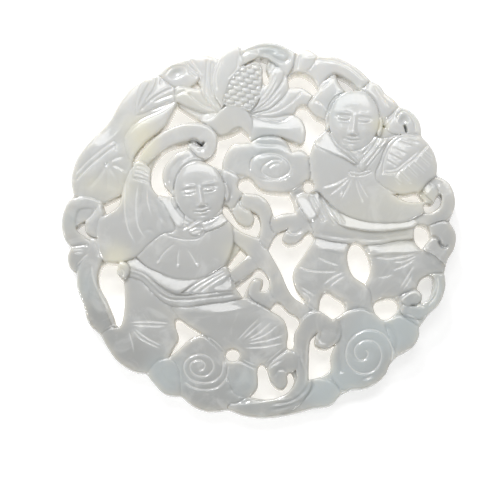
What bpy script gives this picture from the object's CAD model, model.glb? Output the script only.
# %% [markdown]
# # An openwork jade roundel
#
# This lesson carves a flat, pierced pendant of pale jade: two boys among lotus, clouds and ribbons.
# A real carver starts from a flat slab, saws the gaps out, and then cuts the front into a relief
# with small wheels, while the back stays flat. The script works in the same order. It keeps the
# slab as a height map, carves each form into that map, and turns the map into one closed mesh.
# A height map suits a relief because no part of it hangs over another, and because rounded rims,
# grooves and pleats are each a short formula on the distance to a line.

import math

import bmesh
import bpy
import numpy as np
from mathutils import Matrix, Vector


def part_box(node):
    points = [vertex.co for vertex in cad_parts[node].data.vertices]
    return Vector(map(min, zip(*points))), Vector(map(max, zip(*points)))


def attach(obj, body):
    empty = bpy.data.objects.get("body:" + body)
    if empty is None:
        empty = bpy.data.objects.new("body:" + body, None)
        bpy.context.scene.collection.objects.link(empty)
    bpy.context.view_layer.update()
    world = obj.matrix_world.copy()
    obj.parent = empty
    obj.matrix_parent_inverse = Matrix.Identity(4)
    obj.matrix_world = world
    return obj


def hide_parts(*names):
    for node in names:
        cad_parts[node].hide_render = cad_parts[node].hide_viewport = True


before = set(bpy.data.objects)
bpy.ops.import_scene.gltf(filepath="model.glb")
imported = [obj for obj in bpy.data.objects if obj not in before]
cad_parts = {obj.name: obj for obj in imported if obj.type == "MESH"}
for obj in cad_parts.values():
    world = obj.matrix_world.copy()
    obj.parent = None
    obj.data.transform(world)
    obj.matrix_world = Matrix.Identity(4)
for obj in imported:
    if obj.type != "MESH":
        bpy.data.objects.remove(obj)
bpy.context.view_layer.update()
low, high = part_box("jade_plaque")
print("the CAD plaque spans", [round(1000 * (b - a), 2) for a, b in zip(low, high)], "mm")

# %% [markdown]
# ## The chart
#
# All places on the pendant are given in percent of its width and height, measured from its middle,
# so a point reads the same here and in the CAD source. Heights and widths of tools are millimetres.
# The map has one sample every tenth of a millimetre, finer than a pixel of the final picture.

# %% Make the grid that the relief is carved in
SIZE = np.array([60.0, 57.5])
CHART = SIZE / 100
STEP = 0.1
MARGIN = 0.5

grid_x, grid_y = (np.arange(-half - MARGIN, half + MARGIN, STEP) for half in SIZE / 2)
X, Y = np.meshgrid(grid_x, grid_y)
print("the height map has", X.shape[1], "by", X.shape[0], "samples")


# %% [markdown]
# ## Smooth lines through a few points
#
# A carver draws a form with a few sweeps. Here each line is a Hermite curve through chart points:
# it leaves every point along the direction from the point before to the point after. A third
# number of 1 marks a corner, where the line meets the point straight and turns sharply.

# %% Draw smooth curves through chart points
def hermite(b, c, m, n, t):
    """Points at the shares t of the way from b to c, with the slopes m and n at the two ends."""
    t = t[:, None]
    return (b * (2 * t**3 - 3 * t**2 + 1) + m * (t**3 - 2 * t**2 + t)
            + c * (3 * t**2 - 2 * t**3) + n * (t**3 - t**2))


def unit(v):
    size = np.hypot(*v)
    return v / size if size else v


def closed_curve(points, step=0.35):
    """The outline through chart points, in millimetres."""
    spots = [np.array(p[:2]) * CHART for p in points]
    corner = [len(p) > 2 for p in points]
    count = len(points)
    line = []
    for i in range(count):
        before, b, c, after = (spots[(i + k) % count] for k in (-1, 0, 1, 2))
        chord = c - b
        size = np.hypot(*chord)
        m = chord if corner[i] else unit(c - before) * size
        n = chord if corner[(i + 1) % count] else unit(after - b) * size
        steps = max(2, round(size / step))
        line.append(hermite(b, c, m, n, np.arange(steps) / steps))
    return np.concatenate(line)


def open_curve(points, step=0.35):
    """The line through chart points, in millimetres, with any further columns carried along."""
    spots = [np.array(p[:2]) * CHART for p in points]
    last = len(points) - 1
    line = []
    for i in range(last):
        b, c = spots[i], spots[i + 1]
        size = np.hypot(*(c - b))
        m = unit(c - spots[max(i - 1, 0)]) * size
        n = unit(spots[min(i + 2, last)] - b) * size
        steps = max(2, round(size / step))
        t = np.arange(steps + (i == last - 1)) / steps
        rest = np.outer(1 - t, points[i][2:]) + np.outer(t, points[i + 1][2:])
        line.append(np.hstack([hermite(b, c, m, n, t), rest]))
    return np.concatenate(line)


square = closed_curve([(-50, -50, 1), (50, -50, 1), (50, 50, 1), (-50, 50, 1)])
print("the outline round the whole chart takes", len(square), "points")


# %% [markdown]
# ## Distances
#
# Every tool below asks one question: how far is this sample from that line? The distance is only
# worked out in a small window round each short piece of the line, which keeps the script fast.
# Whether a sample lies inside an outline follows from how often a ray from it crosses the outline.

# %% Measure how deep a sample lies inside an outline
def window(a, b, reach):
    """The rows and columns of the map within reach of the piece of line from a to b."""
    lower = np.minimum(a[:2], b[:2]) - reach
    upper = np.maximum(a[:2], b[:2]) + reach
    rows = slice(*np.searchsorted(grid_y, (lower[1], upper[1])))
    columns = slice(*np.searchsorted(grid_x, (lower[0], upper[0])))
    return rows, columns


def nearest(a, b, spot):
    """For the samples in a window: share along the line from a to b, distance to it and side."""
    px, py = X[spot] - a[0], Y[spot] - a[1]
    dx, dy = b[0] - a[0], b[1] - a[1]
    share = np.clip((px * dx + py * dy) / (dx * dx + dy * dy), 0, 1)
    side = np.where(dx * py - dy * px >= 0, 1, -1)
    return share, np.hypot(px - share * dx, py - share * dy), side


def depth_inside(outline, reach):
    """Distance to a closed outline, positive inside, and never more than reach."""
    far = np.full(X.shape, float(reach))
    inside = np.zeros(X.shape, bool)
    for a, b in zip(outline, np.roll(outline, -1, axis=0)):
        spot = window(a, b, reach)
        far[spot] = np.minimum(far[spot], nearest(a, b, spot)[1])
        rows = slice(*np.searchsorted(grid_y, sorted((a[1], b[1]))))
        if rows.stop > rows.start:
            cross = a[0] + (grid_y[rows] - a[1]) * (b[0] - a[0]) / (b[1] - a[1])
            inside[rows] ^= grid_x[None, :] > cross[:, None]
    return np.where(inside, far, -far)


chart_depth = depth_inside(square, 1)
print("the chart holds", round(float((chart_depth > 0).sum()) * STEP**2), "square millimetres")


# %% [markdown]
# Ribbons and engraved lines are open lines, so they ask in their own way. A ribbon changes its
# width and height along its length. An engraved line needs to know which side a sample lies on,
# and how far the line's nearer end is, because a wheel leaves the stone gently at both ends.

# %% Measure distances to ribbons and to engraved lines
def depth_in_ribbon(path, reach):
    """Distance inside the edge of a ribbon with columns x, y, width and height, and its height."""
    depth = np.full(X.shape, -float(reach))
    height = np.zeros(X.shape)
    for a, b in zip(path[:-1], path[1:]):
        spot = window(a, b, max(a[2], b[2]) / 2 + reach)
        share, away, _ = nearest(a, b, spot)
        d = (a[2] + (b[2] - a[2]) * share) / 2 - away
        closer = d > depth[spot]
        depth[spot] = np.where(closer, d, depth[spot])
        height[spot] = np.where(closer, a[3] + (b[3] - a[3]) * share, height[spot])
    return depth, height


def beside_line(path, reach):
    """Signed distance to an open line, and the distance along it from its nearer end."""
    away = np.full(X.shape, float(reach))
    side = np.ones(X.shape)
    along = np.zeros(X.shape)
    pieces = np.hypot(*np.diff(path[:, :2], axis=0).T)
    start = np.concatenate([[0], np.cumsum(pieces)])
    for i, (a, b) in enumerate(zip(path[:-1], path[1:])):
        spot = window(a, b, reach)
        share, d, s = nearest(a, b, spot)
        closer = d < away[spot]
        away[spot] = np.where(closer, d, away[spot])
        side[spot] = np.where(closer, s, side[spot])
        along[spot] = np.where(closer, start[i] + share * pieces[i], along[spot])
    return away * side, np.minimum(along, start[-1] - along)


across, along = beside_line(open_curve([(-20, 0), (20, 0)]), 1)
print("a line of 24 mm is", round(2 * float(along[np.abs(across) < 1].max()), 1), "mm long here")


# %% [markdown]
# ## The saw cuts
#
# The pendant's rim is scalloped by its leaves, clouds and ribbons, and twenty-nine gaps go right
# through the stone. On the real pendant a hole is drilled first, and a wire saw is threaded through
# it. The same outlines cut the CAD solid, so the two agree to a hair.

# %% The rim and the gaps of the pendant
RIM = [
    (-50, 0), (-49.8, 4), (-48.6, 7.1), (-47.1, 8.7, 1), (-47.7, 13.5), (-46, 19.3),
    (-42.4, 24.2), (-38.2, 28.8), (-35.2, 34.5), (-31, 39.2), (-25.8, 41.4, 1), (-23, 44.1),
    (-19.3, 45.3, 1), (-14.5, 46.8), (-10.2, 45.8, 1), (-7.8, 48.4), (-5.3, 49.1),
    (-4, 48.3, 1), (0, 49.9), (5, 49.6), (9.6, 47.2, 1), (12.2, 48.3), (15.3, 46.5, 1),
    (20, 46.1), (25, 43.4), (28.8, 39.7, 1), (31, 38.4), (32.3, 36.3, 1), (34.6, 34.5),
    (36, 32.6, 1), (38.8, 31.4), (41, 28.5), (41.5, 24.8, 1), (44.3, 21), (45.4, 17),
    (45.2, 14.3, 1), (48.5, 12), (49.9, 7.5), (49.3, 4), (48.4, 1.9, 1), (50, -1.5),
    (49.5, -5.5), (47.9, -8.3), (47, -11.8, 1), (47.2, -15.5), (45.8, -19.7), (42.9, -23),
    (40.5, -26.3, 1), (40.5, -28.5), (38.9, -31.4), (35, -33.8, 1), (33, -36.2),
    (32.1, -38.5, 1), (30, -40.7), (26.8, -42.3), (23.3, -42.6, 1), (20.6, -44.1),
    (18.2, -46.7), (13.4, -47.6, 1), (8, -49.1), (2, -50), (-3.5, -49.5), (-7.7, -47.9, 1),
    (-12.5, -48.4), (-16.4, -47.1), (-19.6, -44.4, 1), (-23.5, -43.9), (-26.3, -41.3),
    (-28.4, -38.4, 1), (-31.8, -37.7), (-35.6, -35.2), (-38.1, -31.8), (-40.2, -27.9, 1),
    (-43, -25.2), (-44.3, -20.5), (-45.9, -16), (-46.2, -12.1, 1), (-48, -10.2),
    (-48.4, -7.2), (-47.6, -5.1, 1), (-49.2, -3),
]
GAPS = [
    [(-4.6, 43.5, 1), (-2, 45.1), (0.2, 46), (2.5, 45.5, 1), (1.8, 43.5), (2.6, 40.6),
     (1.8, 38.6), (1, 41), (0.9, 43.4), (-0.5, 44.9), (-2.5, 44.4)],
    [(7.4, 40.5, 1), (10, 42), (13.5, 40.5), (15.1, 37.5), (13.9, 35.7, 1), (11, 37.9),
     (7.8, 37.9, 1)],
    [(19.6, 41.8, 1), (23.2, 39.8), (25.7, 37, 1), (22.2, 36.9, 1), (20.6, 39.2)],
    [(-17.4, 37.9, 1), (-15.6, 39.6, 1), (-14.6, 37.6, 1)],
    [(-21, 33.2, 1), (-14.6, 28.8, 1), (-19.5, 28.1), (-25, 25.4), (-29.5, 20.8),
     (-31.4, 17.7), (-31.8, 19), (-28.8, 23.1), (-24, 27.4), (-22.2, 30.5)],
    [(9.1, 30.6, 1), (10.3, 32.9), (12.3, 32.9), (14.2, 30.4), (17, 28.6), (16.8, 26.3, 1),
     (14.3, 23.6), (12.9, 19.5, 1), (11, 21.2), (8.5, 20.7, 1), (7.3, 23), (5.5, 24.7, 1),
     (8.8, 23.2), (11.2, 22.8), (12, 26), (10.9, 29.2)],
    [(-4.6, 26.9, 1), (-2.6, 25), (-2, 23.2, 1), (-6.8, 22.6), (-9.1, 18.5), (-9.4, 15.7, 1),
     (-14.3, 17.8, 1), (-11.2, 20.1), (-10.4, 24.5, 1), (-6.8, 25.6)],
    [(-27.4, 14.5), (-26.6, 17.8), (-23.5, 21.4), (-18, 23.2, 1), (-18.3, 21.3, 1),
     (-21.5, 19.8), (-24.3, 15.8), (-24.1, 11.6), (-21.6, 8.4, 1), (-25.8, 9.2),
     (-27.3, 11.8)],
    [(-3.2, 13.8), (-5.2, 12.3), (-4.6, 10), (0, 9), (2.4, 7), (3.9, 3, 1), (6.2, 4),
     (9.1, 4.2, 1), (8.8, 7.2), (7.7, 9.5, 1), (3, 9.8), (-0.2, 11), (-1.8, 13.1)],
    [(34.1, 8.9, 1), (37.5, 9.1), (40.3, 9.6), (41.4, 8.3), (42.3, 7, 1), (38, 7.1)],
    [(42.2, 6.6), (44.4, 6.8), (45.3, 8.5), (46.2, 9.2), (46.4, 7.1), (44.8, 5), (42.6, 4.1),
     (41.8, 5.3)],
    [(-39.6, 6.5, 1), (-34.8, 9, 1), (-35.8, 6), (-38.6, 3.8, 1)],
    [(-8.7, 6.2), (-9.1, 4.2), (-6.6, 0.9), (-4, -1.1), (-0.6, -2.3, 1), (0.3, 0.2),
     (-0.1, 3.1), (-2.2, 4.8, 1), (-1.1, 2.7), (-2.3, 0.5), (-5.1, 1.5), (-7, 4.5)],
    [(-46.3, 0.4), (-44.1, 1.9, 1), (-43.9, -1), (-41, -2.7, 1), (-44, -2), (-45.7, -0.9)],
    [(7.3, -0.2, 1), (4.6, -1.6), (2.4, -5.8, 1), (5.2, -11), (8.2, -17.6), (11, -20, 1),
     (11.6, -19.2, 1), (9.4, -16), (8.6, -11.8), (11.5, -6.7), (13.9, -2.4), (12.7, -1),
     (10.7, -3.2), (8, -4.4), (6, -3.2), (6.4, -1.3)],
    [(40, 0.7), (42.8, 0.4), (43.6, -2.2, 1), (41.3, -5.5, 1), (39.6, -3.2)],
    [(24.6, -3.6), (23, -5.2), (22.5, -8.5), (23.9, -12.5), (26.9, -14.7, 1), (28.3, -11),
     (27.6, -7), (26.2, -4.5)],
    [(-4.7, -5.3, 1), (-3, -7.2, 1), (-7.1, -11.1, 1), (-8, -10, 1)],
    [(-39.2, -9.3), (-36.9, -9.2), (-35.5, -9.4, 1), (-35.8, -12), (-34.2, -13.9, 1),
     (-33.9, -18.5), (-34.4, -24), (-35.5, -26), (-36.6, -23.5), (-38.4, -19.2),
     (-40.4, -15), (-40.3, -11)],
    [(-0.1, -10.7), (-2, -12.5), (-5.9, -15.7, 1), (-4, -18.4, 1), (-2.9, -15.5),
     (-1.2, -13.3), (0.9, -13.4), (0.9, -15.6), (0.4, -16.6), (2.2, -16.2), (2.6, -14),
     (1.6, -12)],
    [(43.5, -12.4), (41.1, -13.6), (40, -15.9, 1), (41.3, -17.9), (40.9, -20.1, 1),
     (43, -18.8), (44.2, -15)],
    [(17.2, -17), (15.8, -18.5), (15.2, -21.7, 1), (18.6, -24.2, 1), (21.7, -21.8),
     (21.5, -19.9), (19.3, -18.2)],
    [(29.1, -20.2), (31, -18.9), (34.3, -18.7), (35.3, -20.8), (33.6, -23.4), (31.5, -24.2),
     (29.5, -22.5)],
    [(2.8, -21.6, 1), (4.8, -19.8), (7.3, -22.1), (10.2, -24.4), (8.9, -28), (8.6, -31.7),
     (7.2, -31.6), (7.4, -28), (6.3, -24.2)],
    [(-20.7, -24), (-17.9, -25.7), (-14.3, -28, 1), (-17.3, -29.1), (-20.5, -32.3),
     (-22.7, -34.1, 1), (-21.4, -31.4), (-20.2, -29.2), (-21, -26)],
    [(14.6, -27.8, 1), (13, -30), (12.6, -36), (12.5, -40.1, 1), (16, -39), (18, -37.2),
     (18, -34), (19.2, -30.8, 1), (16.8, -32), (14.3, -31.2), (14.1, -29.3)],
    [(0.6, -36), (1.8, -37), (3.2, -41), (5.6, -42.7), (7.2, -41.2), (7.2, -38.7),
     (8.3, -38.4), (8.8, -40.8), (6.8, -43.7), (2.5, -45.2), (-2.2, -44.6, 1), (-0.3, -42),
     (-0.3, -37.5)],
]
# Drilled gaps, with columns x, y, half of the width and half of the height
DRILLED = [(12.7, 11.4, 1.35, 1.65), (-6.6, -33.5, 1.75, 1.6)]
print("there are", len(RIM), "points round the rim and", len(GAPS) + len(DRILLED), "gaps")

# %% [markdown]
# The distance to the nearest edge of the stone serves three times: it makes the outline of the
# mesh, it eases the edges, and it tells the material where the stone is thin. A gap is an outline
# turned inside out, so the smallest of all the distances is the one that counts.

# %% Cut the rim and the gaps
STONE_REACH = 2.5
RING_POINTS = 36
stone = depth_inside(closed_curve(RIM), STONE_REACH)
for gap in GAPS:
    stone = np.minimum(stone, -depth_inside(closed_curve(gap), STONE_REACH))
for x, y, half_w, half_h in DRILLED:
    turns = np.linspace(0, 2 * math.pi, RING_POINTS, endpoint=False)
    ring = np.stack([x + half_w * np.cos(turns), y + half_h * np.sin(turns)], axis=1) * CHART
    stone = np.minimum(stone, -depth_inside(ring, STONE_REACH))
print("the stone covers", round(float((stone > 0).sum()) * STEP**2 / 100, 2), "square centimetres")


# %% [markdown]
# ## The carver's tools
#
# The map starts at the level of the ground, from which no form stands out. A form sets the map
# inside its outline to a new height, rounds its rim down and sinks a fine groove round itself, as a
# wheel does where one leaf lies over another. A short blur inside the form stands for the polish,
# which takes the crispness off every ridge.

# %% The ground, and how a form is raised from it
GROUND = 4.1
FORM_POLISH = 0.06
GROOVE_REACH = 0.3
relief = np.full(X.shape, GROUND)
engraved = np.zeros(X.shape)


def soften(values, mask, size):
    """Blur values over size millimetres without mixing in what lies outside the mask."""
    width = size / STEP
    taps = np.arange(-math.ceil(3 * width), math.ceil(3 * width) + 1)
    weights = np.exp(-0.5 * (taps / width) ** 2)
    total, share = values * mask, mask.astype(float)
    for axis in (0, 1):
        total = sum(w * np.roll(total, k, axis) for k, w in zip(taps, weights))
        share = sum(w * np.roll(share, k, axis) for k, w in zip(taps, weights))
    return np.where(mask, total / np.maximum(share, 1e-9), values)


def quarter_round(share):
    """A quarter of a circle, from 0 where share is 0 to 1 where it is 1."""
    return np.sqrt(1 - (1 - np.clip(share, 0, 1)) ** 2)


def raise_to(depth, top, drop, rim, groove):
    """Set the map inside depth to top, with a rounded rim that falls by drop, and a groove."""
    global relief, engraved
    inside = depth > 0
    shape = top - drop * (1 - quarter_round(depth / rim))
    shape = soften(shape, inside, FORM_POLISH)
    beside = np.clip(1 + depth / GROOVE_REACH, 0, 1) ** 2
    relief = np.where(inside, shape, relief - groove * beside)
    engraved = np.where(inside, 0, engraved)


print("the ground lies", GROUND, "mm over the back")


# %% [markdown]
# Leaves, clouds and clothes are forms with an outline of their own. Scrolls and bands are ribbons
# along a line of changing width and height, so that a band can dive under its neighbour.

# %% The tools for forms and ribbons
RIBBON_REACH = 0.6
RIBBON_RIM = 0.24


def form(points, top, drop=0.2, rim=0.3, bulge=0.1, reach=2.4, lean=(0, 0), groove=0.04):
    """A rounded form. bulge lifts its middle, and lean tips it by millimetres per millimetre."""
    outline = closed_curve(points)
    depth = depth_inside(outline, max(rim, reach))
    middle = outline.mean(axis=0)
    dome = bulge * (1 - (1 - np.clip(depth / reach, 0, 1)) ** 2)
    slope = lean[0] * (X - middle[0]) + lean[1] * (Y - middle[1])
    raise_to(depth, top + dome + slope, drop, rim, groove)


def ribbon(points, drop=0.24, groove=0.04):
    """A rounded band with columns x, y, width in percent and height in millimetres."""
    path = open_curve(points)
    path[:, 2] *= CHART[0]
    depth, top = depth_in_ribbon(path, RIBBON_REACH)
    raise_to(depth, top, drop, path[:, 2].mean() * RIBBON_RIM, groove)


# %% [markdown]
# Lines come after the forms. A cut is a round-bottomed groove, a crest is a ridge left standing,
# and a pleat has both side by side. The wheel leaves fine lines unpolished, so they look paler and
# more matt than the skin round them. The map `engraved` keeps where they are, for the material.

# %% The tools for lines
LINE_REACH = 1.5
FINE_WIDTH = 0.27
FINE_HEIGHT = 0.3


def draw(lines, width, height, ends, profile):
    """Add height times a profile across each line, fading over its last millimetres, or ends.

    Fine, shallow lines are also marked in the map of engraved lines.
    """
    global relief, engraved
    for points in lines:
        away, along = beside_line(open_curve(points), LINE_REACH * width)
        fade = np.clip(along / ends, 0, 1)
        stroke = profile(away / width) * fade * (2 - fade)
        relief = relief + height * stroke
        if width < FINE_WIDTH and abs(height) < FINE_HEIGHT:
            engraved = np.maximum(engraved, np.abs(stroke))


def bell(s):
    return np.exp(-1.6 * s * s) * (np.abs(s) < LINE_REACH)


def ridge_and_groove(s):
    return 1.9 * s * np.exp(-1.4 * s * s) * (np.abs(s) < LINE_REACH)


def cut(*lines, width=0.22, depth=0.12, ends=0.8):
    """Engraved lines: a round-bottomed groove."""
    draw(lines, width, -depth, ends, bell)


def crest(*lines, width=0.2, height=0.08, ends=0.8):
    """Raised lines: a soft ridge."""
    draw(lines, width, height, ends, bell)


def pleat(*lines, width=0.32, height=0.12, ends=1.2):
    """Folds: a ridge to the left of the line with a groove to its right."""
    draw(lines, width, height, ends, ridge_and_groove)


# %% [markdown]
# Two last tools change what is already carved. `swell` lifts or hollows a soft oval, and `tip`
# tilts a patch. A facet that is tipped towards the top of the pendant mirrors the lamp there, and
# that gives the bright sashes and collars. Each carving cell ends by saying how much it worked.

# %% The tools for swellings and facets
carved_before = relief


def swell(x, y, half_w, half_h, height, turn):
    """A soft swelling, or a hollow where height is negative. Its half sizes are in percent."""
    global relief
    a = math.radians(turn)
    dx, dy = (X - x * CHART[0]) / CHART[0], (Y - y * CHART[1]) / CHART[0]
    u = (dx * math.cos(a) + dy * math.sin(a)) / half_w
    v = (dy * math.cos(a) - dx * math.sin(a)) / half_h
    relief = relief + height * np.clip(1 - u * u - v * v, 0, 1) ** 2


def tip(points, lean, blend=0.35):
    """Tip what is already carved inside an outline, so that a polished facet catches the light."""
    global relief
    outline = closed_curve(points)
    share = np.clip(depth_inside(outline, blend) / blend, 0, 1)
    middle = outline.mean(axis=0)
    relief = relief + share * (lean[0] * (X - middle[0]) + lean[1] * (Y - middle[1]))


def carved(what):
    """Print how much of the stone has changed since the last call, and how high it now stands."""
    global carved_before
    worked = (np.abs(relief - carved_before) > 0.005) & (stone > 0)
    area, top = worked.sum() * STEP**2, relief[worked].max()
    print(f"{what}: {area:.0f} square millimetres, up to {top:.2f} mm over the back")
    carved_before = relief


print("the slab is ready, at", round(float(relief.max()), 2), "mm")


# %% [markdown]
# ## The furled lotus leaf
#
# A lotus leaf fills the top left. Its lower end folds over itself, its right edge rolls along the
# gap, and its tip is furled. The forms are carved from the back to the front.

# %% Carve the furled leaf at the top left
form([(-47.6, 9), (-48.2, 14), (-46.4, 20), (-41, 26.4), (-37, 32), (-33, 38), (-27, 41.8),
      (-22, 40.5), (-20.7, 37), (-21, 33.4), (-22.5, 30.2), (-25, 26.8), (-29, 23.2), (-31.6, 19),
      (-32.4, 14), (-34.6, 9.2), (-38.5, 7), (-43, 7.6)], 4.45, drop=0.28, rim=0.45, bulge=0.15)
swell(-38, 27, 6.5, 2.6, -0.14, turn=50)
form([(-31.6, 18), (-33.4, 19.6), (-34.4, 23.6), (-33, 26.6), (-30.6, 29), (-27.6, 30.6),
      (-24.4, 32.2), (-21.6, 34.4, 1), (-20.6, 33.4), (-22.2, 30.2), (-24, 27), (-28.8, 22.8)], 4.7,
     drop=0.24, rim=0.7, groove=0.02)
form([(-31.4, 30.2, 1), (-31.4, 34.4), (-29.6, 39.4), (-26, 41.6), (-22.6, 39.8), (-20.4, 37.6),
      (-20.9, 36), (-21.4, 33.9, 1), (-25.4, 32.5), (-29, 31)], 4.7, rim=0.35, groove=0.03)
carved("the furled leaf")

# %% [markdown]
# Veins fan out from the middle of the leaf, and pleats gather its furled tip. They are shallow,
# since the photograph shows them as pale threads and not as shadows.

# %% Cut the veins and the pleats of the leaf
cut([(-46.6, 14.4), (-43.9, 17.5), (-40.6, 20.5), (-37.8, 22.8), (-36.4, 23.7)], width=0.2,
    depth=0.06)
cut([(-46.2, 13), (-43.4, 16.2), (-40.2, 19.1), (-37.4, 21.5), (-35.9, 22.4)], width=0.2,
    depth=0.09)
cut([(-37.2, 23.6), (-35.7, 22)], [(-36.4, 22.9), (-36.1, 20.6)], width=0.2, depth=0.09, ends=0.4)
cut([(-38.6, 17.2), (-41, 13.6), (-43.4, 10.6)], [(-38.6, 17.2), (-38.8, 13.4), (-38.4, 9.6)],
    [(-38.4, 17.2), (-36.2, 13.8), (-35.2, 10.6)], [(-38.2, 17.4), (-35.4, 16.4), (-33.6, 15)],
    [(-38.4, 17.6), (-36, 19), (-34, 19.4)], width=0.36, depth=0.06, ends=1.2)
cut([(-39.3, 17.3), (-38.1, 17.1)], [(-38.8, 17.7), (-38.7, 16.7)], ends=0.3)
pleat([(-31.2, 31.4), (-30, 35.4), (-27.8, 39.8)],
      [(-30.4, 31.6), (-28, 34.4), (-24.6, 36.8), (-21.4, 38.2)],
      [(-30.8, 31.4), (-28.6, 35), (-26.8, 38), (-26.2, 40.8)], width=0.28, height=0.1)
cut([(-25.2, 38.4), (-24.7, 40.6)], [(-23.8, 38.6), (-23.2, 39.9)],
    [(-26.8, 33.9), (-24.4, 35), (-21.6, 36)], [(-27.4, 31.5), (-24.6, 32.9), (-22.2, 34.2)],
    depth=0.14)
carved("the veins and pleats")

# %% [markdown]
# ## The lotus flower
#
# The flower opens at the top: petals fan out from a pod full of seeds, and one petal arches over
# it. Each petal is a form with a leaning top, so that its root dives under the next one.

# %% Carve the petals of the lotus
form([(-15, 29), (-9.6, 24.6), (-4.7, 27), (-2, 23), (4.5, 25), (8, 23.8), (11.6, 23), (12.2, 28),
      (9.2, 31), (12.4, 33.2), (14, 35.7), (9.5, 38), (8, 41), (8.4, 45), (4, 45.6), (2, 42),
      (-4, 36), (-9, 33)], 4.3, drop=0.22)
form([(-25.9, 41.6, 1), (-23.2, 44.4), (-19, 45.8), (-16.4, 43.6), (-15.2, 40.4), (-15.8, 39.4, 1),
      (-17.6, 37.8, 1), (-21, 37.6), (-23.4, 39.2)], 4.35)
form([(-19.4, 45.6), (-14.5, 47.4), (-10.2, 46.2), (-10.4, 40), (-10.2, 34), (-9.4, 31.4),
      (-12, 32.4), (-14.4, 35.4), (-14.9, 40), (-17, 43.2)], 4.4, drop=0.22, rim=0.35)
form([(-10.4, 31, 1), (-13, 31), (-16.6, 32), (-21.2, 34, 1), (-21.6, 36.4), (-20.8, 38.2),
      (-17.6, 38), (-14.4, 37.8), (-13.2, 34.6)], 4.5, rim=0.35, lean=(-0.05, 0))
form([(-4, 31, 1), (0, 29.6), (4, 28.6), (6.6, 29), (9.3, 30.7), (12, 29.4), (12.4, 26),
      (11.4, 22.4), (8.6, 23.4), (5.4, 24.6), (1.4, 25), (-3, 24)], 4.5, drop=0.15,
     lean=(0.02, -0.05), groove=0.02)
form([(-15, 29, 1), (-12, 29.4), (-9.8, 31.6), (-8, 33), (-5, 32.8), (-2.6, 31), (-1.6, 28.6),
      (-1.8, 26), (-2.2, 23), (-4.8, 27.2), (-9.6, 25), (-11.4, 26.4)], 4.6, drop=0.08, rim=0.5,
     bulge=0, lean=(0, 0.05), groove=0)
form([(-2.2, 30.6, 1), (3, 29.8), (7, 30.6), (9.2, 30.8), (12.4, 33.2), (14.4, 35.8, 1),
      (10.4, 38.2), (7.6, 37.8), (5.4, 34.4), (2, 32)], 4.55, drop=0.16, rim=0.4, lean=(0.03, 0),
     groove=0.02)
form([(-2, 31, 1), (2.4, 32), (5.6, 34.6), (8, 38), (7.8, 41.4), (6.6, 43), (5.8, 39.4), (3.4, 36),
      (0.6, 33)], 4.65, drop=0.16, groove=0.02)
form([(-1.6, 31.4, 1), (1.4, 33.4), (4, 36.4), (6, 39.6), (6.6, 42.4), (5.2, 43.4), (3.4, 42.4),
      (1.8, 38.6), (0.6, 37.4), (0, 34)], 4.75, drop=0.22)
carved("the petals")

# %% [markdown]
# One petal stands upright beside the pod and another arches over it, round a pierced crescent. They
# are the nearest to the eye, so they are carved last of the petals, and the arch is hollowed.

# %% Carve the standing petal and the arch
form([(-4.6, 48.6, 1), (0, 50.2), (5, 50), (9.8, 47.4, 1), (9, 44), (7.6, 40.4, 1), (5.4, 43.2, 1),
      (2.4, 45.4), (0, 46), (-4.8, 43.4, 1)], 4.85, drop=0.24, rim=0.35)
form([(-9.4, 32.2, 1), (-11.4, 36), (-11.8, 40.4), (-10.4, 45), (-8, 48.6), (-5.4, 49.4),
      (-4.4, 47), (-3.6, 42.6), (-6, 39.6), (-7.4, 36)], 4.85, drop=0.16, rim=0.35, bulge=0.06,
     reach=1.6, groove=0.02)
swell(-20.9, 41.9, 2.9, 1.7, -0.42, turn=25)
cut([(-4.8, 46.4), (-2, 48), (2, 48.7), (6, 47.8), (7.6, 46.2), (6.8, 44.9), (5.4, 45.1),
     (2.6, 46.6), (0, 46.8)], width=0.36, depth=0.18)
swell(1.6, 47.5, 5.6, 1.0, -0.2, turn=-4)
carved("the standing petal and the arch")

# %% [markdown]
# Each petal has a few long lines that run together at its root. They follow its outline, which
# makes a nearly flat form look cupped.

# %% Cut the lines in the petals
pleat([(-24.2, 41.4), (-22.6, 43.4), (-19.4, 44.1), (-17.8, 42.9)], height=0.14)
cut([(-18.9, 45), (-17.2, 43), (-15.4, 41.6)], [(-17.6, 45.9), (-15.8, 43.2), (-14.4, 41.4)],
    [(-18.4, 43), (-17, 41.4), (-15.8, 40.6)],
    [(-13.2, 45.6), (-13.3, 41), (-13.4, 37), (-11, 32.6)],
    [(-14.4, 41), (-14.4, 37), (-12.6, 33.6), (-10.6, 31.4)],
    [(-11.9, 45.2), (-12.2, 40), (-11.6, 35.4)], depth=0.14)
cut([(-11.6, 31.8), (-15, 33.6), (-18, 36.4)], [(-12.4, 30.6), (-16.4, 31.4), (-20.4, 33.6)],
    [(-18.6, 37.2), (-21.4, 35.6)])
cut([(-1, 31.2), (2.8, 33.2), (5.8, 36.6)], [(-0.8, 32.4), (2.4, 35.4), (4.8, 39.8)],
    [(0.8, 35), (3, 38.4), (4.4, 41.6)], [(0, 30.6), (4.6, 31.4), (8.6, 34), (10.8, 36.6)],
    [(-0.6, 29.8), (4, 29.6), (8.6, 30.6)], [(-10.6, 37), (-10.8, 41), (-9.4, 45.4)],
    [(-7.8, 40.2), (-5.6, 43), (-5.2, 46.6)], width=0.18, depth=0.07)
carved("the petal lines")

# %% [markdown]
# ## The seed pod
#
# The pod is packed with seeds in staggered rows, each a small oval left standing between crossed
# grooves. The pod is hollowed a little first so that the seeds don't stand over the petals.

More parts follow.
